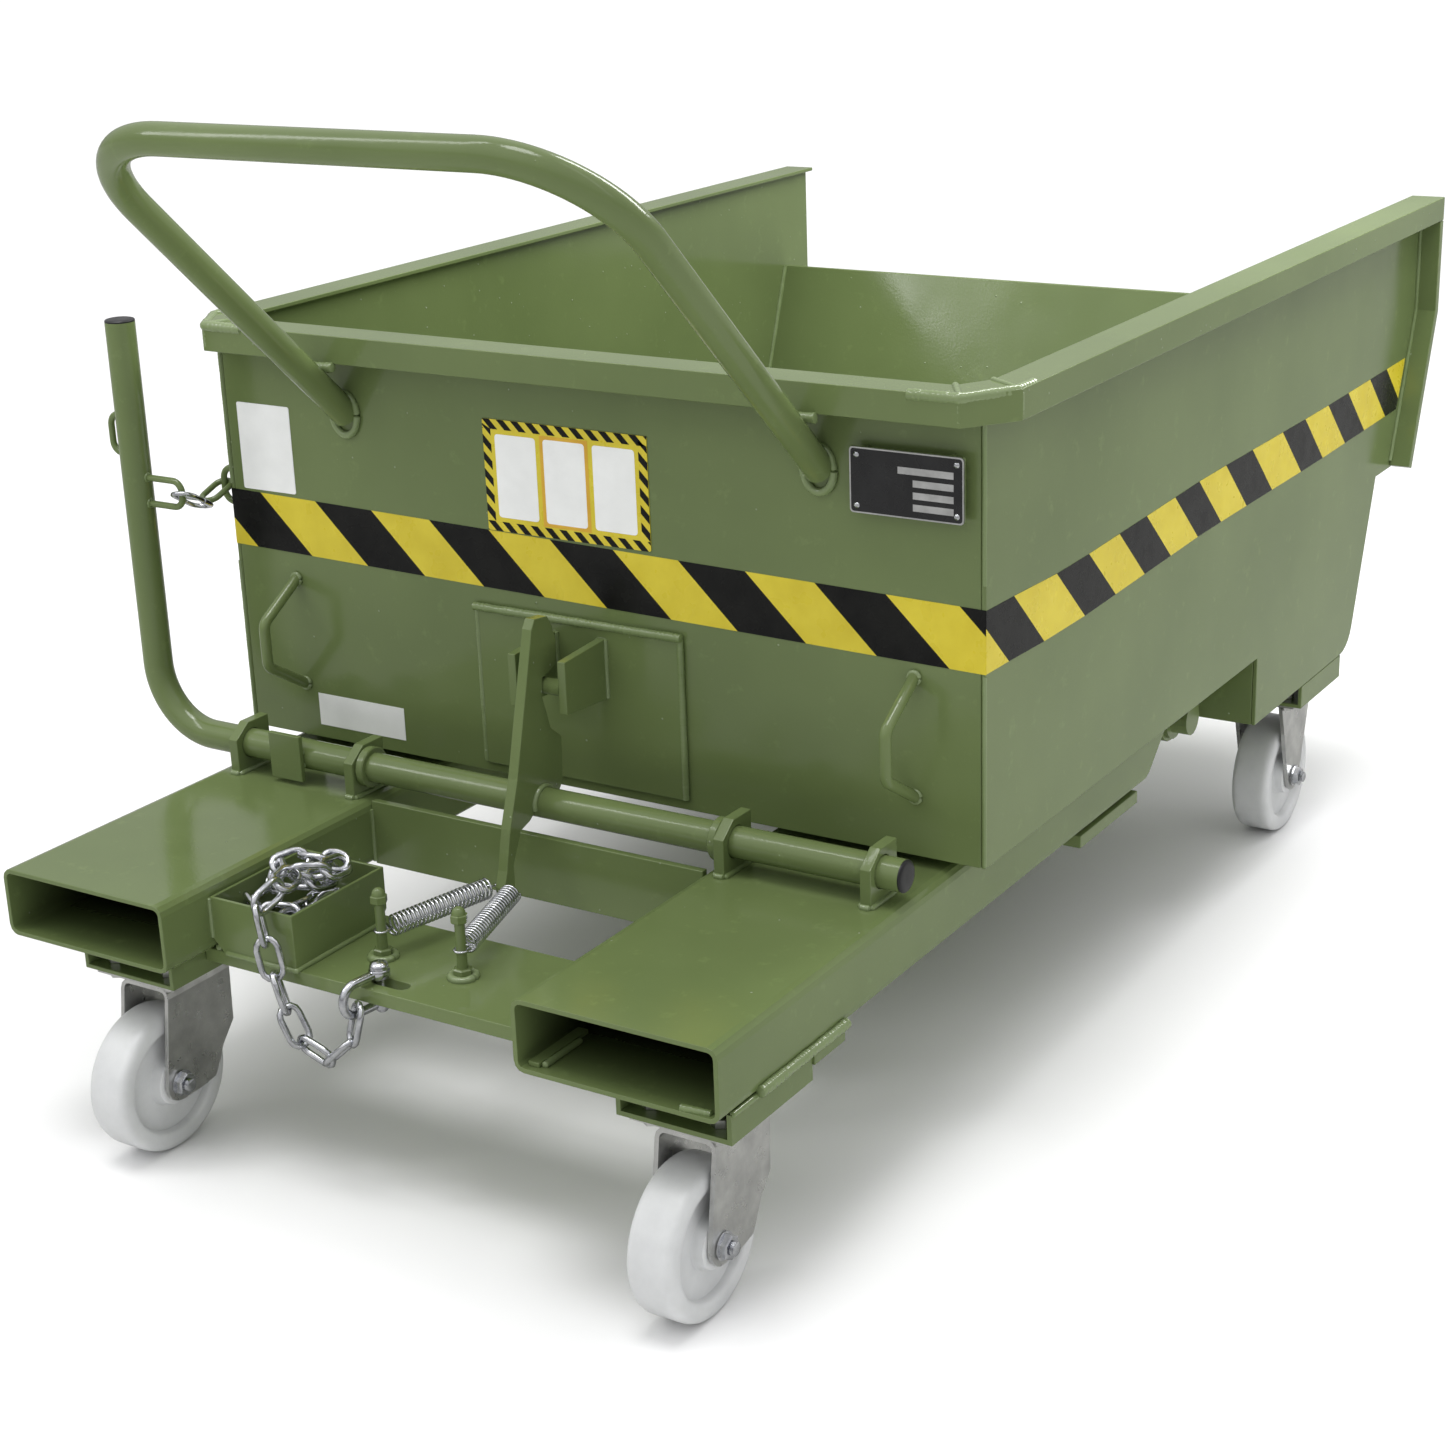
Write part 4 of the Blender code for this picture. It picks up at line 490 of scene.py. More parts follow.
def paint(name, dark, light, gloss=(0.09, 0.21), grit=0.8):
    """Gloss paint sprayed on steel: cloudy colour, orange peel, and grit under the coat."""
    look, tree, shader, place = shader_of(name, 0.3)
    cloud = spread(tree, noise(tree, place, 5.0, 3.0), 0.35, 0.65, 0, 1)
    colour = mixed(tree, cloud, dark, light)
    dust = spread(tree, noise(tree, place, 60.0, 4.0, 0.65), 0.60, 0.78, 0, 0.22)
    colour = mixed(tree, dust, colour, tuple(min(1, c * 1.7) for c in light))
    sheen = spread(tree, noise(tree, place, 14.0, 3.0), 0.3, 0.7, *gloss)
    peel = bumped(tree, noise(tree, place, 330.0, 1.0), 0.00012, 0.55)
    cells = fed(tree, "TexVoronoi", {"Scale": 62.0, "Vector": place.outputs["Object"]})
    apart = fed(tree, "SeparateColor", {"Color": cells.outputs["Color"]})
    chosen = spread(tree, apart.outputs["Red"], 0.72, 0.76, 0, 1)
    dot = spread(tree, cells.outputs["Distance"], 0.035, 0.075, 1, 0)
    specks = reckoned(tree, "MULTIPLY", dot, chosen)
    speckled = mixed(tree, spread(tree, specks, 0, 1, 0, 0.45), colour, SPECK_COLOUR)
    grain = bumped(tree, specks, 0.0006, grit, peel)
    waves = bumped(tree, noise(tree, place, 11.0, 1.0), 0.0011, 0.35, grain)
    feed(tree, shader, {"Base Color": speckled, "Roughness": sheen, "Normal": waves})
    return look


def coated(name, metallic, dark, light, rough, scale, finer, sheen_detail, grain):
    """A look with a cloudy colour, a cloudy sheen and a fine grain."""
    look, tree, shader, place = shader_of(name, 0.3, metallic)
    cloud = spread(tree, noise(tree, place, scale, 4.0, 0.6), 0.32, 0.68, 0, 1)
    colour = mixed(tree, cloud, dark, light)
    sheen = spread(tree, noise(tree, place, scale * finer, sheen_detail), 0.3, 0.7, *rough)
    grain_scale, grain_depth = grain
    bump = bumped(tree, noise(tree, place, grain_scale, 2.0), grain_depth, 0.5)
    feed(tree, shader, {"Base Color": colour, "Roughness": sheen, "Normal": bump})
    return look, shader


def metal(name, dark, light, rough=(0.24, 0.42), scale=45.0):
    """Plated steel with a cloudy coat."""
    return coated(name, 1.0, dark, light, rough, scale, 1.7, 3.0, (700.0, 0.0001))[0]


def plastic(name, dark, light, rough, scale=30.0, grain=0.00008, soft=0.0):
    """Moulded plastic, or the face of a tape or a label."""
    look, shader = coated(name, 0.0, dark, light, rough, scale, 2.3, 2.0, (500.0, grain))
    feed(look.node_tree, shader, {
        "Subsurface Weight": soft, "Subsurface Radius": (0.010, 0.010, 0.009), "Subsurface Scale": 1.0,
    })
    return look


GREEN_COLOURS = (0.122, 0.165, 0.060), (0.142, 0.189, 0.071)
SPECK_COLOUR = (0.42, 0.48, 0.33)
# Near-black painted shade for the depths of the fork pockets
POCKET_SHADE_COLOUR = (0.004, 0.005, 0.003)
GREEN = paint("green_paint", *GREEN_COLOURS)
WELD = paint("painted_weld", (0.140, 0.192, 0.070), (0.205, 0.262, 0.125), (0.05, 0.14), 0.2)
WELD.node_tree.nodes["Principled BSDF"].inputs["Specular IOR Level"].default_value = 0.6
ZINC = metal("zinc", (0.50, 0.50, 0.49), (0.68, 0.68, 0.66))
BRIGHT = metal("bright_zinc", (0.42, 0.43, 0.46), (0.72, 0.73, 0.75), (0.10, 0.24), 120.0)
NYLON = plastic("nylon", (0.60, 0.61, 0.61), (0.68, 0.69, 0.69), (0.28, 0.44), 26.0, 0.0001, 0.25)
BLACK = plastic("black_plastic", (0.010, 0.010, 0.011), (0.018, 0.018, 0.019), (0.30, 0.45))
TAPE_BLACK = plastic("tape_black", (0.006, 0.006, 0.006), (0.012, 0.012, 0.011), (0.20, 0.32))
TAPE_BLACK.node_tree.nodes["Principled BSDF"].inputs["Specular IOR Level"].default_value = 0.15
TAPE_YELLOW = plastic("tape_yellow", (0.62, 0.50, 0.020), (0.70, 0.58, 0.034), (0.24, 0.38))
LABEL_WHITE = plastic("label_white", (0.84, 0.85, 0.84), (0.90, 0.91, 0.90), (0.28, 0.42))
LABEL_ORANGE = plastic("label_orange", (0.62, 0.34, 0.02), (0.70, 0.42, 0.03), (0.28, 0.42))
PLATE_BLACK = plastic("plate_enamel", (0.008, 0.008, 0.009), (0.016, 0.016, 0.017), (0.20, 0.34))
PLATE_SILVER = metal("plate_silver", (0.50, 0.50, 0.50), (0.66, 0.66, 0.66), (0.30, 0.45), 60.0)


def paint_pocket_shade(look, low, high):
    """Paints shade deep inside a fork pocket: past its mouth the colour darkens to near black as painted
    shade; its mouth stays as it is.
    """
    tree = look.node_tree
    base = tree.nodes["Principled BSDF"].inputs["Base Color"]
    colour = base.links[0].from_socket
    apart = fed(tree, "SeparateXYZ", {"Vector": tree.nodes["Texture Coordinate"].outputs["Object"]})
    depths = []
    for axis, middle, half in zip("XYZ", (low + high) / 2, (high - low) / 2):
        away = reckoned(tree, "ABSOLUTE", reckoned(tree, "SUBTRACT", apart.outputs[axis], middle))
        depths.append(reckoned(tree, "SUBTRACT", half, away))
    across, along, rising = depths
    both = reckoned(tree, "ADD", across, rising)
    share = spread(tree, along, MOUTH_DEPTH, DARK_DEPTH, 0, 1)
    half_wall = POCKET_WALL / 2
    for depth, edge in ((across, half_wall), (rising, half_wall), (both, POCKET_WALL * 2 - 0.0005)):
        inside = spread(tree, depth, edge - MASK_BLUR, edge + MASK_BLUR, 0, 1)
        share = reckoned(tree, "MULTIPLY", share, inside)
    tree.links.new(mixed(tree, share, colour, POCKET_SHADE_COLOUR), base)
    return look


# Pieces

def added(name, data):
    """A new object with its data, linked to the scene."""
    made = bpy.data.objects.new(name, data)
    bpy.context.scene.collection.objects.link(made)
    return made


def round_edges(made, width, angle_deg):
    """Rounds the edges of an object that are sharper than an angle."""
    edge = made.modifiers.new("edges", "BEVEL")
    edge.width = width
    edge.segments = 2
    edge.limit_method = "ANGLE"
    edge.angle_limit = radians(angle_deg)
    return edge


def piece(name, shapes, look, body, replaces=(), smooth_deg=40, bevel=0.0):
    """A finished piece on a body, from shapes in the working frame."""
    places, faces = join(shapes)
    mesh = bpy.data.meshes.new(name)
    mesh.from_pydata([p + SHIFT for p in places], [], faces)
    mesh.validate()
    for face in mesh.polygons:
        face.use_smooth = True
    mesh.set_sharp_from_angle(angle=radians(smooth_deg))
    mesh.materials.append(look)
    made = added(name, mesh)
    if bevel:
        round_edges(made, bevel, 35)
    if body:
        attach(made, body)
    if replaces:
        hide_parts(*replaces)
    return made


welds = []


def seam(kind, *points):
    """Adds the bead through some places to the welds of the next weld piece."""
    welds.append(bead(kind, points))


def weld_piece(name, body):
    """One piece of all the welds added since the last one."""
    piece(name, welds, WELD, body)
    welds.clear()


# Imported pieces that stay: paint or plating, and rounded edges

REPLACED = {
    "push_handle", "latch_shaft", "shaft_cap", "lever_cap", "latch_spring_left", "latch_spring_right",
    "chain", "shackle", "shackle_pin", "snap_hook", "wall_loop", "grab_handle_left", "grab_handle_right",
    "spring_post_left", "spring_post_right", "latch_pin", "rating_plate",
}
for node_name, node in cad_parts.items():
    if node_name in REPLACED or node_name.startswith(("castor_wheel", "castor_axle")):
        continue
    node.data.materials.clear()
    if node_name.startswith(("castor_fork", "castor_plate")):
        node.data.materials.append(ZINC)
    elif node_name.startswith("fork_pocket"):
        # Fork pockets: green paint with painted shade deep inside them, near black past the mouth
        pocket_paint = paint(node_name + "_paint", *GREEN_COLOURS)
        node.data.materials.append(paint_pocket_shade(pocket_paint, *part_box(node_name)))
    else:
        node.data.materials.append(GREEN)
    joined = node.modifiers.new("joined", "WELD")
    joined.merge_threshold = 0.00001
    flat = node.modifiers.new("flat", "DECIMATE")
    flat.decimate_type = "DISSOLVE"
    flat.angle_limit = radians(1)
    round_edges(node, 0.0009, 38).harden_normals = True


# Push handle and grab handles

handle_foot_y = FRONT - 0.0005
handle_path = bent([
    (-HANDLE_HALF, handle_foot_y, HANDLE_FOOT_Z), (-HANDLE_HALF, HANDLE_Y, HANDLE_Z),
    (HANDLE_HALF, HANDLE_Y, HANDLE_Z), (HANDLE_HALF, handle_foot_y, HANDLE_FOOT_Z),
], HANDLE_BEND, steps=22)
piece("push_handle_tube", [sweep(handle_path, HANDLE_RADIUS, sides=36)], GREEN, "hopper", ("push_handle",))
for side in (-1, 1):
    x = side * HANDLE_HALF
    foot = (x, FRONT - 0.0020, HANDLE_FOOT_Z)
    seam("handle_foot", *ring(foot, HANDLE_RADIUS + 0.0012, "Y", stretch=HANDLE_FOOT_STRETCH))
    seam("handle_rim", (x - RIM_WELD_HALF, 0.3250, 0.6165), (x, 0.3243, 0.6160),
         (x + RIM_WELD_HALF, 0.3250, 0.6165))
weld_piece("push_handle_welds", "hopper")

for side, x in GRAB_HANDLES:
    drop = GRAB_SLANT * (GRAB_TOP - GRAB_LOW)
    grab_path = bent([
        (x, FRONT, GRAB_TOP), (x, FRONT - GRAB_STAND, GRAB_TOP - drop),
        (x, FRONT - GRAB_STAND, GRAB_LOW + drop), (x, FRONT, GRAB_LOW),
    ], GRAB_BEND, steps=8)
    grab_rod = sweep(grab_path, GRAB_RADIUS, sides=16)
    for z in (GRAB_TOP - 0.001, GRAB_LOW + 0.001):
        seam("grab_foot", *ring((x, FRONT - 0.0015, z), 0.0048, "Y", steps=12))
    piece("grab_rod_" + side, [grab_rod], GREEN, "hopper", ("grab_handle_" + side,))
    weld_piece("grab_welds_" + side, "hopper")


# Latch shaft, lever, loops and caps

def side_loop(x, direction, stand, y, z, half):
    """A wire loop that stands out sideways from x."""
    reach = x + direction * stand
    return sweep(bent([
        (x, y, z - half), (reach, y, z - half), (reach, y, z + half), (x, y, z + half),
    ], radius=min(half, stand) * 0.85, steps=8), LOOP_WIRE, sides=14)


shaft_path = bent([
    (SHAFT_END_X, SHAFT_Y, SHAFT_Z), (LEVER_X, SHAFT_Y, SHAFT_Z), (LEVER_X, SHAFT_Y, LEVER_TOP),
], LEVER_BEND, steps=20)
collar = [
    (SHAFT_RADIUS, 0), (COLLAR_RADIUS - 0.001, 0), (COLLAR_RADIUS, 0.001),
    (COLLAR_RADIUS, COLLAR_WIDTH - 0.001), (COLLAR_RADIUS - 0.001, COLLAR_WIDTH),
    (SHAFT_RADIUS, COLLAR_WIDTH),
]
shaft_shapes = [sweep(shaft_path, SHAFT_RADIUS, sides=36)]
shaft_shapes += [lathe(collar, (x - COLLAR_WIDTH / 2, SHAFT_Y, SHAFT_Z), "X") for x in (-COLLAR_X, COLLAR_X)]
for direction, stand, height, half in LEVER_LOOPS:
    lever_side = LEVER_X + direction * SHAFT_RADIUS
    shaft_shapes.append(side_loop(lever_side - direction * 0.001, direction, stand, SHAFT_Y, height, half))
piece("latch_lever", shaft_shapes, GREEN, "latch", ("latch_shaft",))

for x in (-LATCH_PLATE_HALF, LATCH_PLATE_HALF):
    seam("latch_plate", *ring((x, SHAFT_Y, SHAFT_Z), SHAFT_RADIUS + 0.0010, "X", -10, 195))
for z in STOP_WELD_HEIGHTS:
    seam("stop_plate", *[(x, STOP_WELD_Y, z) for x in STOP_SIDES])
for direction, stand, height, half in LEVER_LOOPS:
    lever_side = LEVER_X + direction * SHAFT_RADIUS
    for z in (height - half, height + half):
        seam("loop_foot", *ring((lever_side - direction * 0.0004, SHAFT_Y, z), 0.0034, "X", steps=10))
weld_piece("latch_welds", "latch")

plug = [
    (0, 0.0028), (0.0060, 0.0028), (0.0105, 0.0026), (0.0126, 0.0021), (0.0134, 0.0012), (0.0134, 0.0001),
    (0.0126, -0.0003), (0.0100, -0.0003), (0, -0.0003),
]
for word, x, z, axis in (("shaft", SHAFT_END_X, SHAFT_Z, "X"), ("lever", LEVER_X, LEVER_TOP, "Z")):
    piece(word + "_plug", [lathe(plug, (x, SHAFT_Y, z), axis)], BLACK, "latch", (word + "_cap",))


# Keeper pin: a bolt through the two keeper plates

pin_profile = [
    (0, 0.0210), (0.0060, 0.0210), (0.0072, 0.0202), (0.0072, -0.0202), (0.0060, -0.0210), (0, -0.0210),
]
piece("keeper_pin", [lathe(pin_profile, (0, PIN_Y, PIN_Z), "X", 32)], GREEN, "hopper", ("latch_pin",))


# Side loop on the wall with its painted link, and the snap hook

wall_shapes = [side_loop(-HALF + 0.001, -1, stand=0.013, y=WALL_LOOP_Y, z=WALL_LOOP_Z, half=0.016)]
hang_angle = radians(20)
hang = Vector((0, cos(hang_angle), sin(hang_angle)))
hold = Vector((-HALF - 0.012, WALL_LOOP_Y, WALL_LOOP_Z))
wall_shapes.append(link(
    hold - hang * 0.0120, hang, UP, length=0.034, half_width=0.0088, wire=0.0028, steps=9, sides=14))
piece("wall_ring", wall_shapes, GREEN, "hopper", ("wall_loop",))

hook_hold = Vector((LEVER_X + SHAFT_RADIUS + 0.040, SHAFT_Y, LEVER_LOOPS[1][2]))
hook_along = Vector(HOOK_HEADING).normalized()
hook_middle = hook_hold + hook_along * (HOOK_LENGTH / 2 - 0.0062)
hook_across = UP.cross(hook_along).normalized()


def on_hook(along, across):
    """A place on the snap hook, from its middle."""
    return hook_middle + hook_along * along + hook_across * across


gate = [on_hook(-0.013, HOOK_HALF), on_hook(-0.013, 0.0030), on_hook(-0.004, -HOOK_HALF)]
sleeve = [on_hook(0.002, -HOOK_HALF), on_hook(0.014, -HOOK_HALF)]
snap = [
    link(hook_middle, hook_along, UP, HOOK_LENGTH, HOOK_HALF, wire=0.0022, steps=11, sides=14),
    sweep(gate, radius=0.0016, sides=12),
    sweep(sleeve, radius=0.0029, sides=14),
]
piece("snap_hook_wire", snap, BRIGHT, "latch", ("snap_hook",))


# Castor wheels, axles and details

def wheel_shape(x, y):
    """A moulded nylon wheel: rounded tread, sunk web with a step, and a hub with its bearing."""
    upper = [
        (0.0100, 0.0205), (0.0112, 0.0205), (0.0114, 0.0220), (0.0188, 0.0220), (0.0200, 0.0212),
        (0.0208, 0.0145), (0.0228, 0.0124), (0.0300, 0.0120), (0.0420, 0.0120), (0.0446, 0.0128),
        (0.0460, 0.0180), (0.0476, 0.0196), (0.0500, 0.0200), (0.0560, 0.0200), (0.0592, 0.0192),
        (0.0614, 0.0170), (0.0624, 0.0140), (0.0625, 0.0100),
    ]
    lower = [(radius, -height) for radius, height in reversed(upper)]
    return lathe(upper + lower, (x, y, WHEEL_RADIUS), "X", 96)


def axle_shapes(x, y):
    """The axle bolt with its bush, washers, head, nut and thread end."""
    outer = FORK_OUTER + 0.0002
    middle = (x, y, WHEEL_RADIUS)
    bush = [(0, 0.0228), (0.0094, 0.0228), (0.0094, -0.0228), (0, -0.0228)]
    shapes = [lathe(bush, middle, "X", 32)]
    for side in (-1, 1):
        face = side * outer
        washer = [
            (0, face), (0.0110, face), (0.0114, face + side * 0.0004),
            (0.0114, face + side * 0.0013), (0, face + side * 0.0015),
        ]
        low, high = face + side * 0.0014, face + side * NUT_TOP
        nut = [(0, low), (0.0104, low), (0.0104, high - side * 0.0010), (0.0090, high), (0, high)]
        shapes += [lathe(washer, middle, "X", 40), lathe(nut, middle, "X", 6)]
    end = outer + NUT_TOP
    thread = [(0, end - 0.002)]
    for turn in range(5):
        z = end - 0.001 + 0.0010 * turn
        thread += [(0.0050, z), (0.0056, z + 0.0005)]
    thread += [(0.0042, end + 0.0042), (0, end + 0.0042)]
    shapes.append(lathe(thread, middle, "X", 24))
    return shapes


for end, word, castors, y in (
    ("front", "", FRONT_CASTORS, FRONT_AXLE_Y), ("rear", "rear_", REAR_CASTORS, REAR_AXLE_Y),
):
    for side, x in castors:
        which = end + "_" + side
        fork_body = "castor_" + which if end == "front" else "hopper"
        piece(word + "wheel_" + side, [wheel_shape(x, y)], NYLON, "wheel_" + which,
              ("castor_wheel_" + which,))
        piece(word + "axle_" + side, axle_shapes(x, y), BRIGHT, fork_body,
              ("castor_axle_" + which,), smooth_deg=30)
crown = [
    (0.0245, 0.1503), (0.0262, 0.1507), (0.0275, 0.1518), (0.0285, 0.1535), (0.0285, 0.1550),
    (0.0270, 0.1557), (0.0245, 0.1559),
]
for side, x in FRONT_CASTORS:
    piece("race_" + side, [lathe(crown, (x, FRONT_CASTOR_Y, 0), "Z", 64)], BRIGHT, "base")


# Spring posts, springs, chain and shackle

def post_shapes(x):
    """A stud with a nut at its foot, a plain shank and a domed nut on top."""
    shank = [(0, 0.050), (POST_RADIUS, 0.050), (POST_RADIUS, 0.006), (0, 0.006)]
    foot_nut = [(0, 0.0085), (0.0070, 0.0085), (0.0082, 0.0075), (0.0082, 0), (0, 0)]
    nut = [(0, 0.0480), (0.0064, 0.0480), (0.0074, 0.0490), (0.0074, 0.0545), (0.0064, 0.0552), (0, 0.0552)]
    dome = [(0, 0.0615), (0.0022, 0.0612), (0.0042, 0.0598), (0.0054, 0.0575), (0.0058, 0.0545), (0, 0.0545)]
    shapes = []
    for profile, count in ((shank, 24), (foot_nut, 6), (nut, 6), (dome, 28)):
        raised = [(radius, POCKET_BOTTOM + height) for radius, height in profile]
        shapes.append(lathe(raised, (x, POST_Y, 0), "Z", count))
    return shapes


for side, x in (("left", -POST_X), ("right", POST_X)):
    piece("post_" + side, post_shapes(x), GREEN, "base", ("spring_post_" + side,), smooth_deg=35)
    seam("post_foot", *ring((x, POST_Y, POCKET_BOTTOM + 0.0010), 0.0100, "Z"))
    weld_piece("post_weld_" + side, "base")


def spring_shape(side):
    """A wound spring: an eye round the post, close turns, and a hook in the latch plate's hole."""
    post = Vector((side * POST_X, POST_Y, SPRING_FOOT_Z))
    mouth = Vector((side * 0.010, TIP_Y, TIP_Z))
    along = (mouth - post).normalized()
    across = along.cross(UP).normalized() * side
    up = across.cross(along).normalized()
    wrap = POST_RADIUS + 0.0004 + SPRING_WIRE
    flat = Vector((along.x, along.y, 0)).normalized()
    wide = Vector((across.x, across.y, 0)).normalized()
    path = [post + wide * wrap + flat * 0.0050]
    for step in range(15):
        angle = pi * step / 14
        path.append(post + wide * wrap * cos(angle) - flat * wrap * sin(angle))
    start = post + along * (wrap + SPRING_LEAD)
    end = mouth - along * SPRING_TAIL
    path.append(post - wide * wrap * 0.8 + flat * 0.0045)
    path.append(start - along * 0.0020 - wide * 0.0040)
    total = SPRING_TURNS * SPRING_STEPS
    for step in range(total + 1):
        angle = 2 * pi * step / SPRING_STEPS
        spoke = across * cos(angle) + up * sin(angle)
        path.append(start.lerp(end, step / total) + spoke * SPRING_RADIUS)
    path.append(end + along * 0.0026 + across * 0.0025)
    path.append(end + along * 0.0060)
    path.append(mouth)
    path.append(Vector((side * 0.0020, TIP_Y, TIP_Z)))
    return sweep(path, SPRING_WIRE, sides=8), post, mouth


for side_name, side in (("left", -1), ("right", 1)):
    shape, post_place, mouth_place = spring_shape(side)
    spring = piece("spring_" + side_name, [shape], BRIGHT, None, smooth_deg=60)
    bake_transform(spring)
    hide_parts("latch_spring_" + side_name)

CHAIN_WIRE = 0.00275
CHAIN_PITCH = 0.0295
CHAIN_HALF = 0.0088
CHAIN_START = Vector((-0.1074, 0.0405, 0.2435))
# Each hanging link: its slope and its lean in degrees, and the way its flat side faces
CHAIN_HANGING = (
    (-79.2, 0, (0.79, 0.51, 0)), (-77.7, 0, (0.51, -0.79, 0)), (-70.7, 0, (0.79, 0.51, 0)),
    (-62.1, 0, (1, -0.3, 0)), (-18.7, 0, (0.2, 1, 0.3)), (43.7, 9.4, (-0.68, 0, 0.71)),
    (80.0, 9.9, (0.55, 0.83, 0)),
)
# The heap's route through the box
CHAIN_HEAP = (
    (-0.160, 0.070, 0.196), (-0.160, 0.110, 0.196), (-0.158, 0.152, 0.197), (-0.128, 0.156, 0.198),
    (-0.100, 0.150, 0.198), (-0.099, 0.112, 0.199), (-0.100, 0.072, 0.200), (-0.130, 0.072, 0.202),
    (-0.128, 0.100, 0.204), (-0.130, 0.132, 0.207), (-0.110, 0.146, 0.213), (-0.100, 0.120, 0.216),
    (-0.104, 0.084, 0.219), (-0.132, 0.072, 0.221), (-0.158, 0.086, 0.223), (-0.158, 0.122, 0.225),
    (-0.144, 0.150, 0.228), (-0.116, 0.146, 0.233), (-0.102, 0.122, 0.238), (-0.112, 0.096, 0.243),
    (-0.138, 0.090, 0.245), (-0.148, 0.112, 0.246), (-0.136, 0.134, 0.248), (-0.116, 0.128, 0.252),
    (-0.104, 0.150, 0.245), (-0.096, 0.132, 0.247), (-0.098, 0.108, 0.250), (-0.118, 0.090, 0.254),
    (-0.112, 0.068, 0.252),
)


def one_link(a, b, face):
    """A chain link between the two places where it meets its neighbours."""
    along = (b - a).normalized()
    return link((a + b) / 2, along, face, (b - a).length + 2 * CHAIN_WIRE, CHAIN_HALF, CHAIN_WIRE)


chain_links = []
joint = CHAIN_START
for angle_deg, lean_deg, face in CHAIN_HANGING:
    angle, lean = radians(angle_deg), radians(lean_deg)
    step = Vector((cos(angle) * cos(lean), sin(lean), sin(angle) * cos(lean)))
    chain_links.append(one_link(joint, joint + step * CHAIN_PITCH, Vector(face)))
    joint = joint + step * CHAIN_PITCH
edge_place = CHAIN_START + Vector((0, 0.0284, 0.0080))
chain_links.append(one_link(edge_place, CHAIN_START, Vector((0.9, -0.3, 0))))
heap = [Vector(p) for p in CHAIN_HEAP] + [edge_place + Vector((0, 0.002, 0))]
heap_places = spaced(heap, CHAIN_PITCH * 0.97)
heap_places[-1] = edge_place
for number, (a, b) in enumerate(zip(heap_places, heap_places[1:])):
    along = (b - a).normalized()
    level_face = UP - along * along.z
    tilt = radians((48 if number % 2 else -42) + random.uniform(-14, 14))
    chain_links.append(one_link(a, b, Matrix.Rotation(tilt, 3, along) @ level_face))
piece("chain_links", chain_links, BRIGHT, "base", ("chain",), smooth_deg=60)

SHACKLE_TURN = radians(8)
SHACKLE_HALF = 0.0131
SHACKLE_REACH = 0.0400
SHACKLE_WIRE = 0.0038
forward = Vector((-sin(SHACKLE_TURN), -cos(SHACKLE_TURN), 0))
pin_place = Vector((SLOT_PIN_X, SLOT_Y, SLOT_Z))
rise = Vector((0, 0, SHACKLE_HALF))
bow = bent([
    pin_place + rise + forward * 0.0065, pin_place + rise + forward * SHACKLE_REACH,
    pin_place - rise + forward * SHACKLE_REACH, pin_place - rise + forward * 0.0065,
], radius=0.0124, steps=14)
eye = [
    (0.0049, SHACKLE_WIRE), (0.0080, SHACKLE_WIRE), (0.0088, 0.0028), (0.0088, -0.0028),
    (0.0080, -SHACKLE_WIRE), (0.0049, -SHACKLE_WIRE), (0.0049, SHACKLE_WIRE),
]
shackle = [sweep(bow, SHACKLE_WIRE, sides=20)]
shackle += [lathe(eye, pin_place + lift, "Z", 32) for lift in (rise, -rise)]
piece("shackle_bow", shackle, BRIGHT, "base", ("shackle",), smooth_deg=45)
bolt = [
    (0, 0.0228), (0.0040, 0.0226), (0.0068, 0.0214), (0.0078, 0.0196), (0.0080, 0.0172), (0.0046, 0.0171),
    (0.0045, -0.0200), (0.0038, -0.0206), (0, -0.0206),
]
piece("shackle_bolt", [lathe(bolt, pin_place, "Z", 32)], BRIGHT, "base", ("shackle_pin",))


# Weld beads on the base and the hopper

for side in (-1, 1):
    inner = side * (POCKET_INNER - 0.0010)
    seam("front_plate", *[(inner, y, POCKET_BOTTOM + 0.0012) for y in FRONT_PLATE])
    corner = side * (POCKET_INNER + 0.0002)
    for y in UPRIGHT_PLATE:
        seam("upright_plate", (corner, y, POCKET_BOTTOM + 0.002), (corner, y, POCKET_TOP - 0.008))
foot_z = POCKET_TOP + 0.0010
for x in BRACKET_X:
    bracket_faces = (x - BRACKET_THICK / 2, x + BRACKET_THICK / 2)
    for edge_x in bracket_faces:
        seam("bracket_side", *[(edge_x, y, foot_z) for y in BRACKET_ENDS])
    seam("bracket_front", *[(edge_x, BRACKET_ENDS[0], foot_z) for edge_x in bracket_faces])
box_left, box_right = BOX_SIDES
box_front, box_back = BOX_ENDS
box_foot = POCKET_BOTTOM + 0.001
seam("box_foot", (box_left + 0.013, box_front, box_foot), (box_right, box_front, box_foot),
     (box_right, box_back - 0.013, box_foot))
seam("box_corner", (box_left, box_front, POCKET_BOTTOM + 0.012), (box_left, box_front, BOX_TOP - 0.001))
for _, x in FRONT_CASTORS:
    for edge_x in (x - CASTOR_PLATE_HALF, x + CASTOR_PLATE_HALF):
        seam("castor_plate", *[(edge_x, y, 0.1846) for y in CASTOR_PLATE_WELD])
bar_x = POCKET_INNER + POCKET_WALL + 0.010
bar_weld_x, bar_weld_z = bar_x + 0.008, POCKET_BOTTOM + 0.006
seam("pocket_bar", (bar_weld_x, 0.008, bar_weld_z), (bar_weld_x, 0.055, bar_weld_z))
mouth_z = POCKET_BOTTOM + 0.0045
seam("pocket_mouth", (0.318, 0.004, mouth_z), (0.344, 0.006, mouth_z))
channel_z = POCKET_BOTTOM + 0.0030
for side in (-1, 1):
    edge_x = side * (POCKET_INNER + POCKET_WIDTH + 0.0012)
    seam("front_channel", (edge_x, 0.052, channel_z), (edge_x, 0.180, channel_z))
weld_piece("base_welds", "base")
bar_low = POCKET_BOTTOM + POCKET_WALL
bar_outline = rectangle(0.006, bar_low, 0.070, bar_low + 0.004)
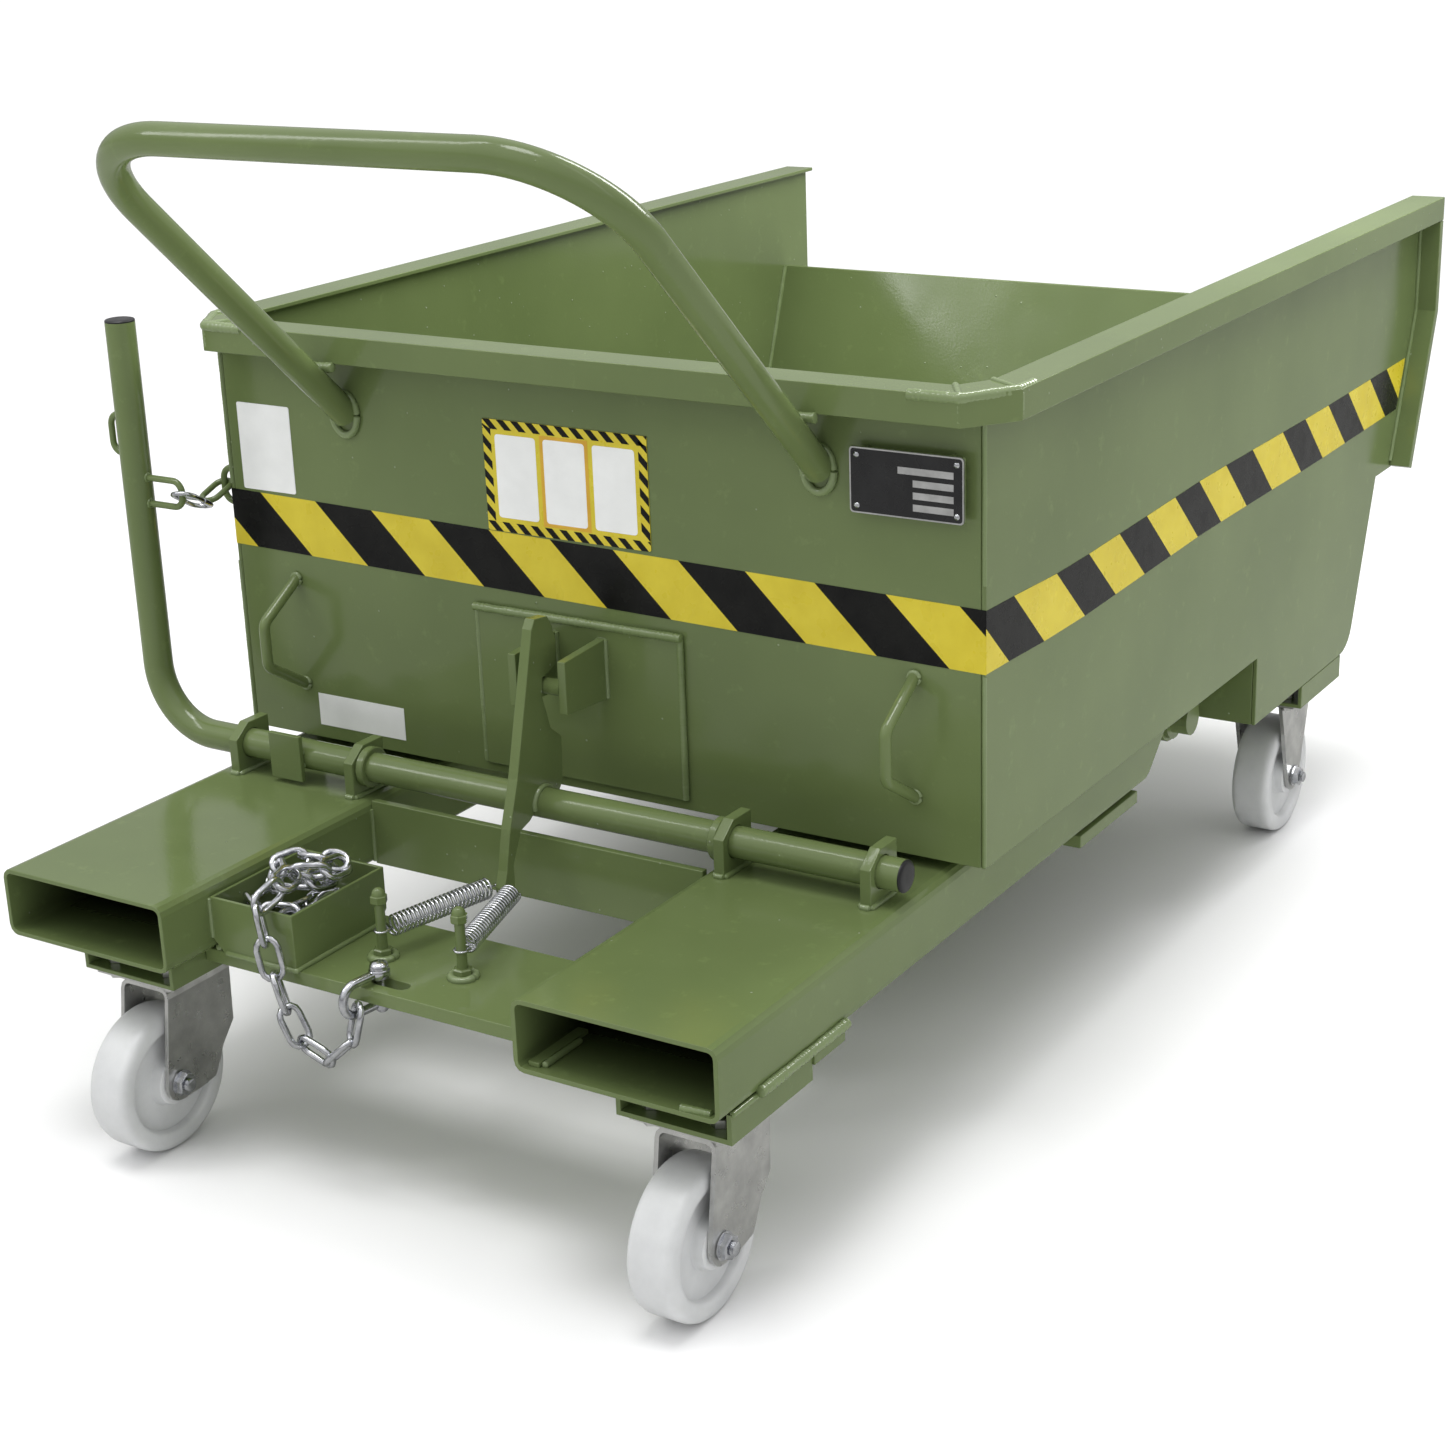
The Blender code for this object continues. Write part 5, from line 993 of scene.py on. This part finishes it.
piece("pocket_bar", [prism("YZ", bar_x - 0.005, bar_x + 0.005, bar_outline)], GREEN, "base", bevel=0.0006)

plate_left, plate_low, plate_right, plate_high = BACKING
plate_y = FRONT - 0.0022
plate_top = plate_high + 0.001
seam("backing_edge", (plate_left - 0.001, plate_y, plate_low), (plate_left - 0.001, plate_y, plate_top),
     (plate_right + 0.001, plate_y, plate_top), (plate_right + 0.001, plate_y, plate_low))
seam("backing_top", (plate_left - 0.005, plate_y - 0.0010, plate_top),
     (plate_right + 0.004, plate_y - 0.0010, plate_top))
for side in (-1, 1):
    outer_x, inner_x, flange_x = side * 0.3852, side * 0.3818, side * 0.3874
    for low, high in ((FLOOR + 0.001, 0.417), (0.490, RIM_BOTTOM)):
        seam("wall_corner", (outer_x, FRONT + 0.0006, low), (outer_x, FRONT + 0.0006, high))
    for keeper_x in KEEPER_FACES:
        seam("keeper", *[(side * keeper_x, FRONT - 0.0048, z) for z in KEEPER_WELD])
    for outer, inner in zip(RIM_CORNERS, RIM_INNER_CORNERS):
        outer, inner = Vector(outer), Vector(inner)
        face = outer + (inner - outer).normalized() * 0.0034
        face_x = side * face.x
        seam("rim_seam", (face_x, face.y, TOP - 0.0008), (side * inner.x, inner.y, TOP - 0.0008))
        seam("rim_face", (face_x, face.y, RIM_BOTTOM + 0.003), (face_x, face.y, TOP - 0.0017))
    (front_x, front_y), (side_x, side_y) = RIM_CORNERS
    rim_x = side * (side_x - 0.0056)
    seam("rim_corner", (side * (front_x - 0.046), front_y + 0.0030, TOP - 0.0026),
         (side * (front_x - 0.0015), front_y + 0.0030, TOP - 0.0022), (rim_x, side_y + 0.0010, TOP - 0.0022),
         (rim_x, side_y + 0.030, TOP - 0.0026))
    knee_y, knee_z = FLANGE_KNEE
    toe_y, toe_z = FLANGE_TOE
    flange_y = knee_y - 0.0105
    seam("edge_flange", (flange_x, flange_y, RIM_BOTTOM), (flange_x, flange_y, knee_z + 0.002),
         (flange_x, toe_y - 0.0095, toe_z + 0.008))
    bend_y, bend_z = DUMP_BEND
    bend_radius = DUMP_RADIUS - 0.005
    bend = []
    for i in range(9):
        angle = radians(-90 + DUMP_SLOPE_DEG * i / 8)
        bend.append((inner_x, bend_y + bend_radius * cos(angle), bend_z + bend_radius * sin(angle)))
    lip_y = bend[-1][1] + (DUMP_LIP_Z - bend[-1][2]) / tan(radians(DUMP_SLOPE_DEG))
    floor_z, corner_y = FLOOR + 0.005, FRONT + 0.005
    seam("dump_plate", (inner_x, STEP_Y + 0.006, DEEP_FLOOR + 0.005), *bend,
         (inner_x, lip_y, DUMP_LIP_Z))
    seam("floor_plate", (inner_x, corner_y, floor_z), (inner_x, STEP_Y, floor_z))
    seam("inner_corner", (inner_x, corner_y, FLOOR + 0.006), (inner_x, corner_y, TOP - 0.006))
weld_piece("hopper_welds", "hopper")


# Tape, labels and the rating plate

def level(run, u):
    """The height of a run of (place, height) points over a place."""
    for (u0, v0), (u1, v1) in zip(run, run[1:]):
        if u <= u1:
            break
    return v0 + (v1 - v0) * (u - u0) / (u1 - u0)


def clipped(outline, start, end, keep_left=True):
    """The part of an outline on one side of the line from start to end."""
    result = []
    du, dv = end[0] - start[0], end[1] - start[1]
    sign = 1 if keep_left else -1

    def side_of(point):
        return sign * (du * (point[1] - start[1]) - dv * (point[0] - start[0]))

    for a, b in zip(outline, outline[1:] + outline[:1]):
        side_a, side_b = side_of(a), side_of(b)
        if side_a >= 0:
            result.append(a)
        if side_a * side_b < 0:
            share = side_a / (side_a - side_b)
            result.append((a[0] + (b[0] - a[0]) * share, a[1] + (b[1] - a[1]) * share))
    return result


def stripes(edges, run, width, lean, low_line, high_line):
    """Leaning stripes between edge places, cut by a line at each end; an empty one is None."""
    shapes = []
    for first, second in zip(edges, edges[1:]):
        outline = [
            (first + lean, level(run, first + lean) - width),
            (second + lean, level(run, second + lean) - width),
            (second, level(run, second)), (first, level(run, first)),
        ]
        outline = clipped(outline, *low_line, keep_left=False)
        if len(outline) > 2:
            outline = clipped(outline, *high_line)
        shapes.append(outline if len(outline) > 2 else None)
    return shapes


def upright(u):
    """An upright line through a place, for cutting stripes."""
    return (u, 0), (u, 1)


def tape(name, plane, low, high, outlines):
    """Black and yellow stripes as one thin strip of each colour; the first stripe is yellow."""
    for start, look, word in ((0, TAPE_YELLOW, "_yellow"), (1, TAPE_BLACK, "_black")):
        piece(name + word, [prism(plane, low, high, o) for o in outlines[start::2] if o], look, "hopper")


front_edges = [TAPE_FRONT_FIRST + TAPE_FRONT_PITCH * k for k in range(-2, 13)]
front_outlines = stripes(front_edges, TAPE_FRONT_TOP, TAPE_WIDTH, TAPE_LEAN, upright(-HALF), upright(HALF))
tape("tape_front", "XZ", FRONT - TAPE_THICK, FRONT - TAPE_LIFT, front_outlines)

tape_end_line = (TAPE_END - TAPE_END_CUT, TAPE_END_Z - TAPE_WIDTH), (TAPE_END, TAPE_END_Z)
side_outlines = stripes(
    TAPE_SIDE_EDGES, TAPE_SIDE_TOP, TAPE_WIDTH - 0.001, TAPE_LEAN, upright(FRONT), tape_end_line)
tape("tape_right", "YZ", HALF + TAPE_LIFT, HALF + TAPE_THICK, side_outlines)
left_outlines = stripes(TAPE_SIDE_EDGES, TAPE_LEFT_TOP, TAPE_WIDTH, TAPE_LEAN, upright(FRONT), tape_end_line)
tape("tape_left", "YZ", -HALF - TAPE_THICK, -HALF - TAPE_LIFT, left_outlines)


def sticker(name, outline, look, front, back=FRONT - 0.00005):
    """A flat face in front of the hopper's front wall, between two depths."""
    outlines = [outline] if isinstance(outline[0], tuple) else outline
    piece(name, [prism("XZ", front, back, o) for o in outlines], look, "hopper")


def board(u0, v0, u1, v1, border, pitch):
    """A blank notice board: a striped border round a plain field with three pale panels."""
    face = FRONT - 0.0008
    sticker("board_field", soft_rectangle(u0, v0, u1, v1, 0.002), TAPE_YELLOW, face)
    dark = []
    for top in (v1, v0 + border):
        edges = [u0 + pitch * k for k in range(-2, int((u1 - u0) / pitch) + 2)]
        found = stripes(edges, ((u0 - 1, top), (u1 + 1, top)), border, border, upright(u0), upright(u1))
        dark += [o for o in found[::2] if o]
    rows = int((v1 - v0 - 2 * border) / pitch)
    for left in (u0, u1 - border):
        for k in range(0, rows + 1, 2):
            low = v0 + border + pitch * k
            dark.append([
                (left, low + border), (left + border, low), (left + border, min(low + pitch, v1 - border)),
                (left, min(low + pitch + border, v1 - border * 0.5)),
            ])
    sticker("board_border", dark, TAPE_BLACK, face - 0.0001, face)
    width = (u1 - u0 - 2 * border) / 3
    low, high = v0 + border, v1 - border
    for k in range(3):
        left = u0 + border + width * k
        right = left + width
        if k == 1:
            middle = rectangle(left + 0.0005, low + 0.001, right - 0.0005, high - 0.001)
            sticker("board_middle", middle, LABEL_ORANGE, face - 0.00012, face)
        panel = soft_rectangle(left + 0.0040, low + 0.0040, right - 0.0040, high - 0.0040, 0.003)
        sticker("board_panel_" + str(k), panel, LABEL_WHITE, face - 0.00022, face)


board(*BOARD, BOARD_BORDER, BOARD_PITCH)
sticker("label_left", soft_rectangle(*LABEL_SIDE, 0.002), LABEL_WHITE, LABEL_FRONT)
sticker("label_low", rectangle(*LABEL_LOW), LABEL_WHITE, LABEL_FRONT)

sign_left, sign_low, sign_right, sign_high = SIGN
tab_outer, tab_inner = SIGN_TAB
sign_y = FRONT - SIGN_STAND
face_y = sign_y - 0.0015
plate_back, tab_back = sign_y + 0.0008, sign_y + 0.0023
sign_metal = prism("XZ", face_y, plate_back, soft_rectangle(*SIGN, 0.003))
piece("sign_metal", [sign_metal], PLATE_SILVER, "hopper", ("rating_plate",))
wall_y = FRONT - 0.0003
bracket_half = [
    (sign_left, plate_back), (sign_left, tab_back), (sign_left + tab_outer, tab_back),
    (sign_left + tab_outer, wall_y), (sign_left + tab_inner, wall_y), (sign_left + tab_inner, tab_back),
]
bracket_rest = [
    (sign_right - tab_inner, tab_back), (sign_right - tab_inner, wall_y), (sign_right - tab_outer, wall_y),
    (sign_right - tab_outer, tab_back), (sign_right, tab_back), (sign_right, plate_back),
]
bracket = prism("XY", sign_low, sign_high, bracket_half + bracket_rest)
piece("sign_bracket", [bracket], GREEN, "hopper", bevel=0.0003)
enamel = soft_rectangle(
    sign_left + SIGN_MARGIN, sign_low + SIGN_MARGIN, sign_right - SIGN_MARGIN, sign_high - SIGN_MARGIN,
    0.0025)
sticker("sign_face", enamel, PLATE_BLACK, face_y - 0.00015, face_y)
fields = [rectangle(0.3300, 0.5470 + 0.0095 * k, 0.3650, 0.5525 + 0.0095 * k) for k in range(3)]
fields.append(rectangle(0.3170, 0.5755, 0.3650, 0.5810))
sticker("sign_fields", fields, PLATE_SILVER, face_y - 0.00025, face_y - 0.00015)
rivet = [(0, -0.0016), (0.0012, -0.0014), (0.0021, -0.0008), (0.0026, 0), (0, 0)]
rivets = [
    lathe(rivet, (u, face_y - 0.0001, v), "Y", 24)
    for u in (sign_left + SIGN_RIVET, sign_right - SIGN_RIVET)
    for v in (sign_low + SIGN_RIVET, sign_high - SIGN_RIVET)]
piece("sign_rivets", rivets, BRIGHT, "hopper")


# Stage, light and camera

def lay_floor():
    """A wide pale floor whose mirror image in the paint is darker."""
    look, tree, shader, place = shader_of("pale_floor", 0.9)
    cloud = spread(tree, noise(tree, place, 2.0, 2.0), 0.3, 0.7, 0, 1)
    ray = tree.nodes.new("ShaderNodeLightPath")
    pale = mixed(tree, cloud, (0.90, 0.90, 0.90), (0.92, 0.92, 0.92))
    seen = mixed(tree, ray.outputs["Is Glossy Ray"], pale, (0.42, 0.42, 0.41))
    feed(tree, shader, {"Base Color": seen})
    mesh = bpy.data.meshes.new("floor")
    outline = rectangle(-FLOOR_REACH, -FLOOR_REACH, FLOOR_REACH, FLOOR_REACH)
    mesh.from_pydata([(u, v, 0) for u, v in outline], [], [(0, 1, 2, 3)])
    mesh.materials.append(look)
    added("floor", mesh)


lay_floor()

world = bpy.data.worlds.new("studio")
bpy.context.scene.world = world
world.use_nodes = True
sky = world.node_tree
background = sky.nodes["Background"]
sky_place = sky.nodes.new("ShaderNodeTexCoord")
split = fed(sky, "SeparateXYZ", {"Vector": sky_place.outputs["Generated"]})
rising = spread(sky, split.outputs["Z"], -0.05, 0.80, 0, 1)
ray = sky.nodes.new("ShaderNodeLightPath")
studio = mixed(sky, rising, (0.22, 0.22, 0.22), (0.98, 0.98, 0.99))
seen = mixed(sky, ray.outputs["Is Camera Ray"], studio, (1.0, 1.0, 1.0))
feed(sky, background, {"Color": seen, "Strength": 1.0})


def lamp_along(name, kind, energy, toward, place=(0, 0, 0)):
    """A lamp at a place that shines along a direction."""
    lamp = bpy.data.lights.new(name, kind)
    lamp.energy = energy
    made = added(name, lamp)
    made.location = place
    made.rotation_euler = toward.to_track_quat("-Z", "Y").to_euler()
    return lamp


def sun(name, energy, angle_deg, toward):
    """A soft distant lamp shining along a direction."""
    lamp_along(name, "SUN", energy, Vector(toward)).angle = radians(angle_deg)


def softbox(name, energy, size, place, target):
    """A large rectangular lamp aimed at a place."""
    lamp = lamp_along(name, "AREA", energy, Vector(target) - Vector(place), place)
    lamp.shape = "RECTANGLE"
    lamp.size, lamp.size_y = size


sun("key", energy=1.08, angle_deg=24, toward=(0.02, 0.10, -1.0))
sun("fill", energy=0.22, angle_deg=60, toward=(0.35, 0.80, -0.7))
softbox("strip_right", energy=2.5, size=(0.25, 2.4), place=(1.9, -0.3, 2.5), target=(0.2, 0.2, 0.4))
softbox("strip_left", energy=10, size=(0.25, 2.0), place=(-1.2, -1.3, 2.3), target=(-0.1, -0.2, 0.3))
softbox("inside", energy=16, size=(0.4, 1.0), place=(0.42, 0.50, 1.5), target=(-0.38, 0.15, 0.4))

camera_data = bpy.data.cameras.new("camera")
camera_data.lens = CAMERA_LENS
camera_data.sensor_width = 36
camera = added("camera", camera_data)
right = Vector(CAMERA_RIGHT).normalized()
back = -Vector(CAMERA_VIEW).normalized()
up = back.cross(right).normalized()
turned = Matrix((right, up, back)).transposed().to_4x4()
camera.matrix_world = Matrix.Translation(Vector(CAMERA_PLACE) + SHIFT) @ turned
bpy.context.scene.camera = camera
bpy.context.scene.view_settings.view_transform = "Standard"

bpy.context.view_layer.update()
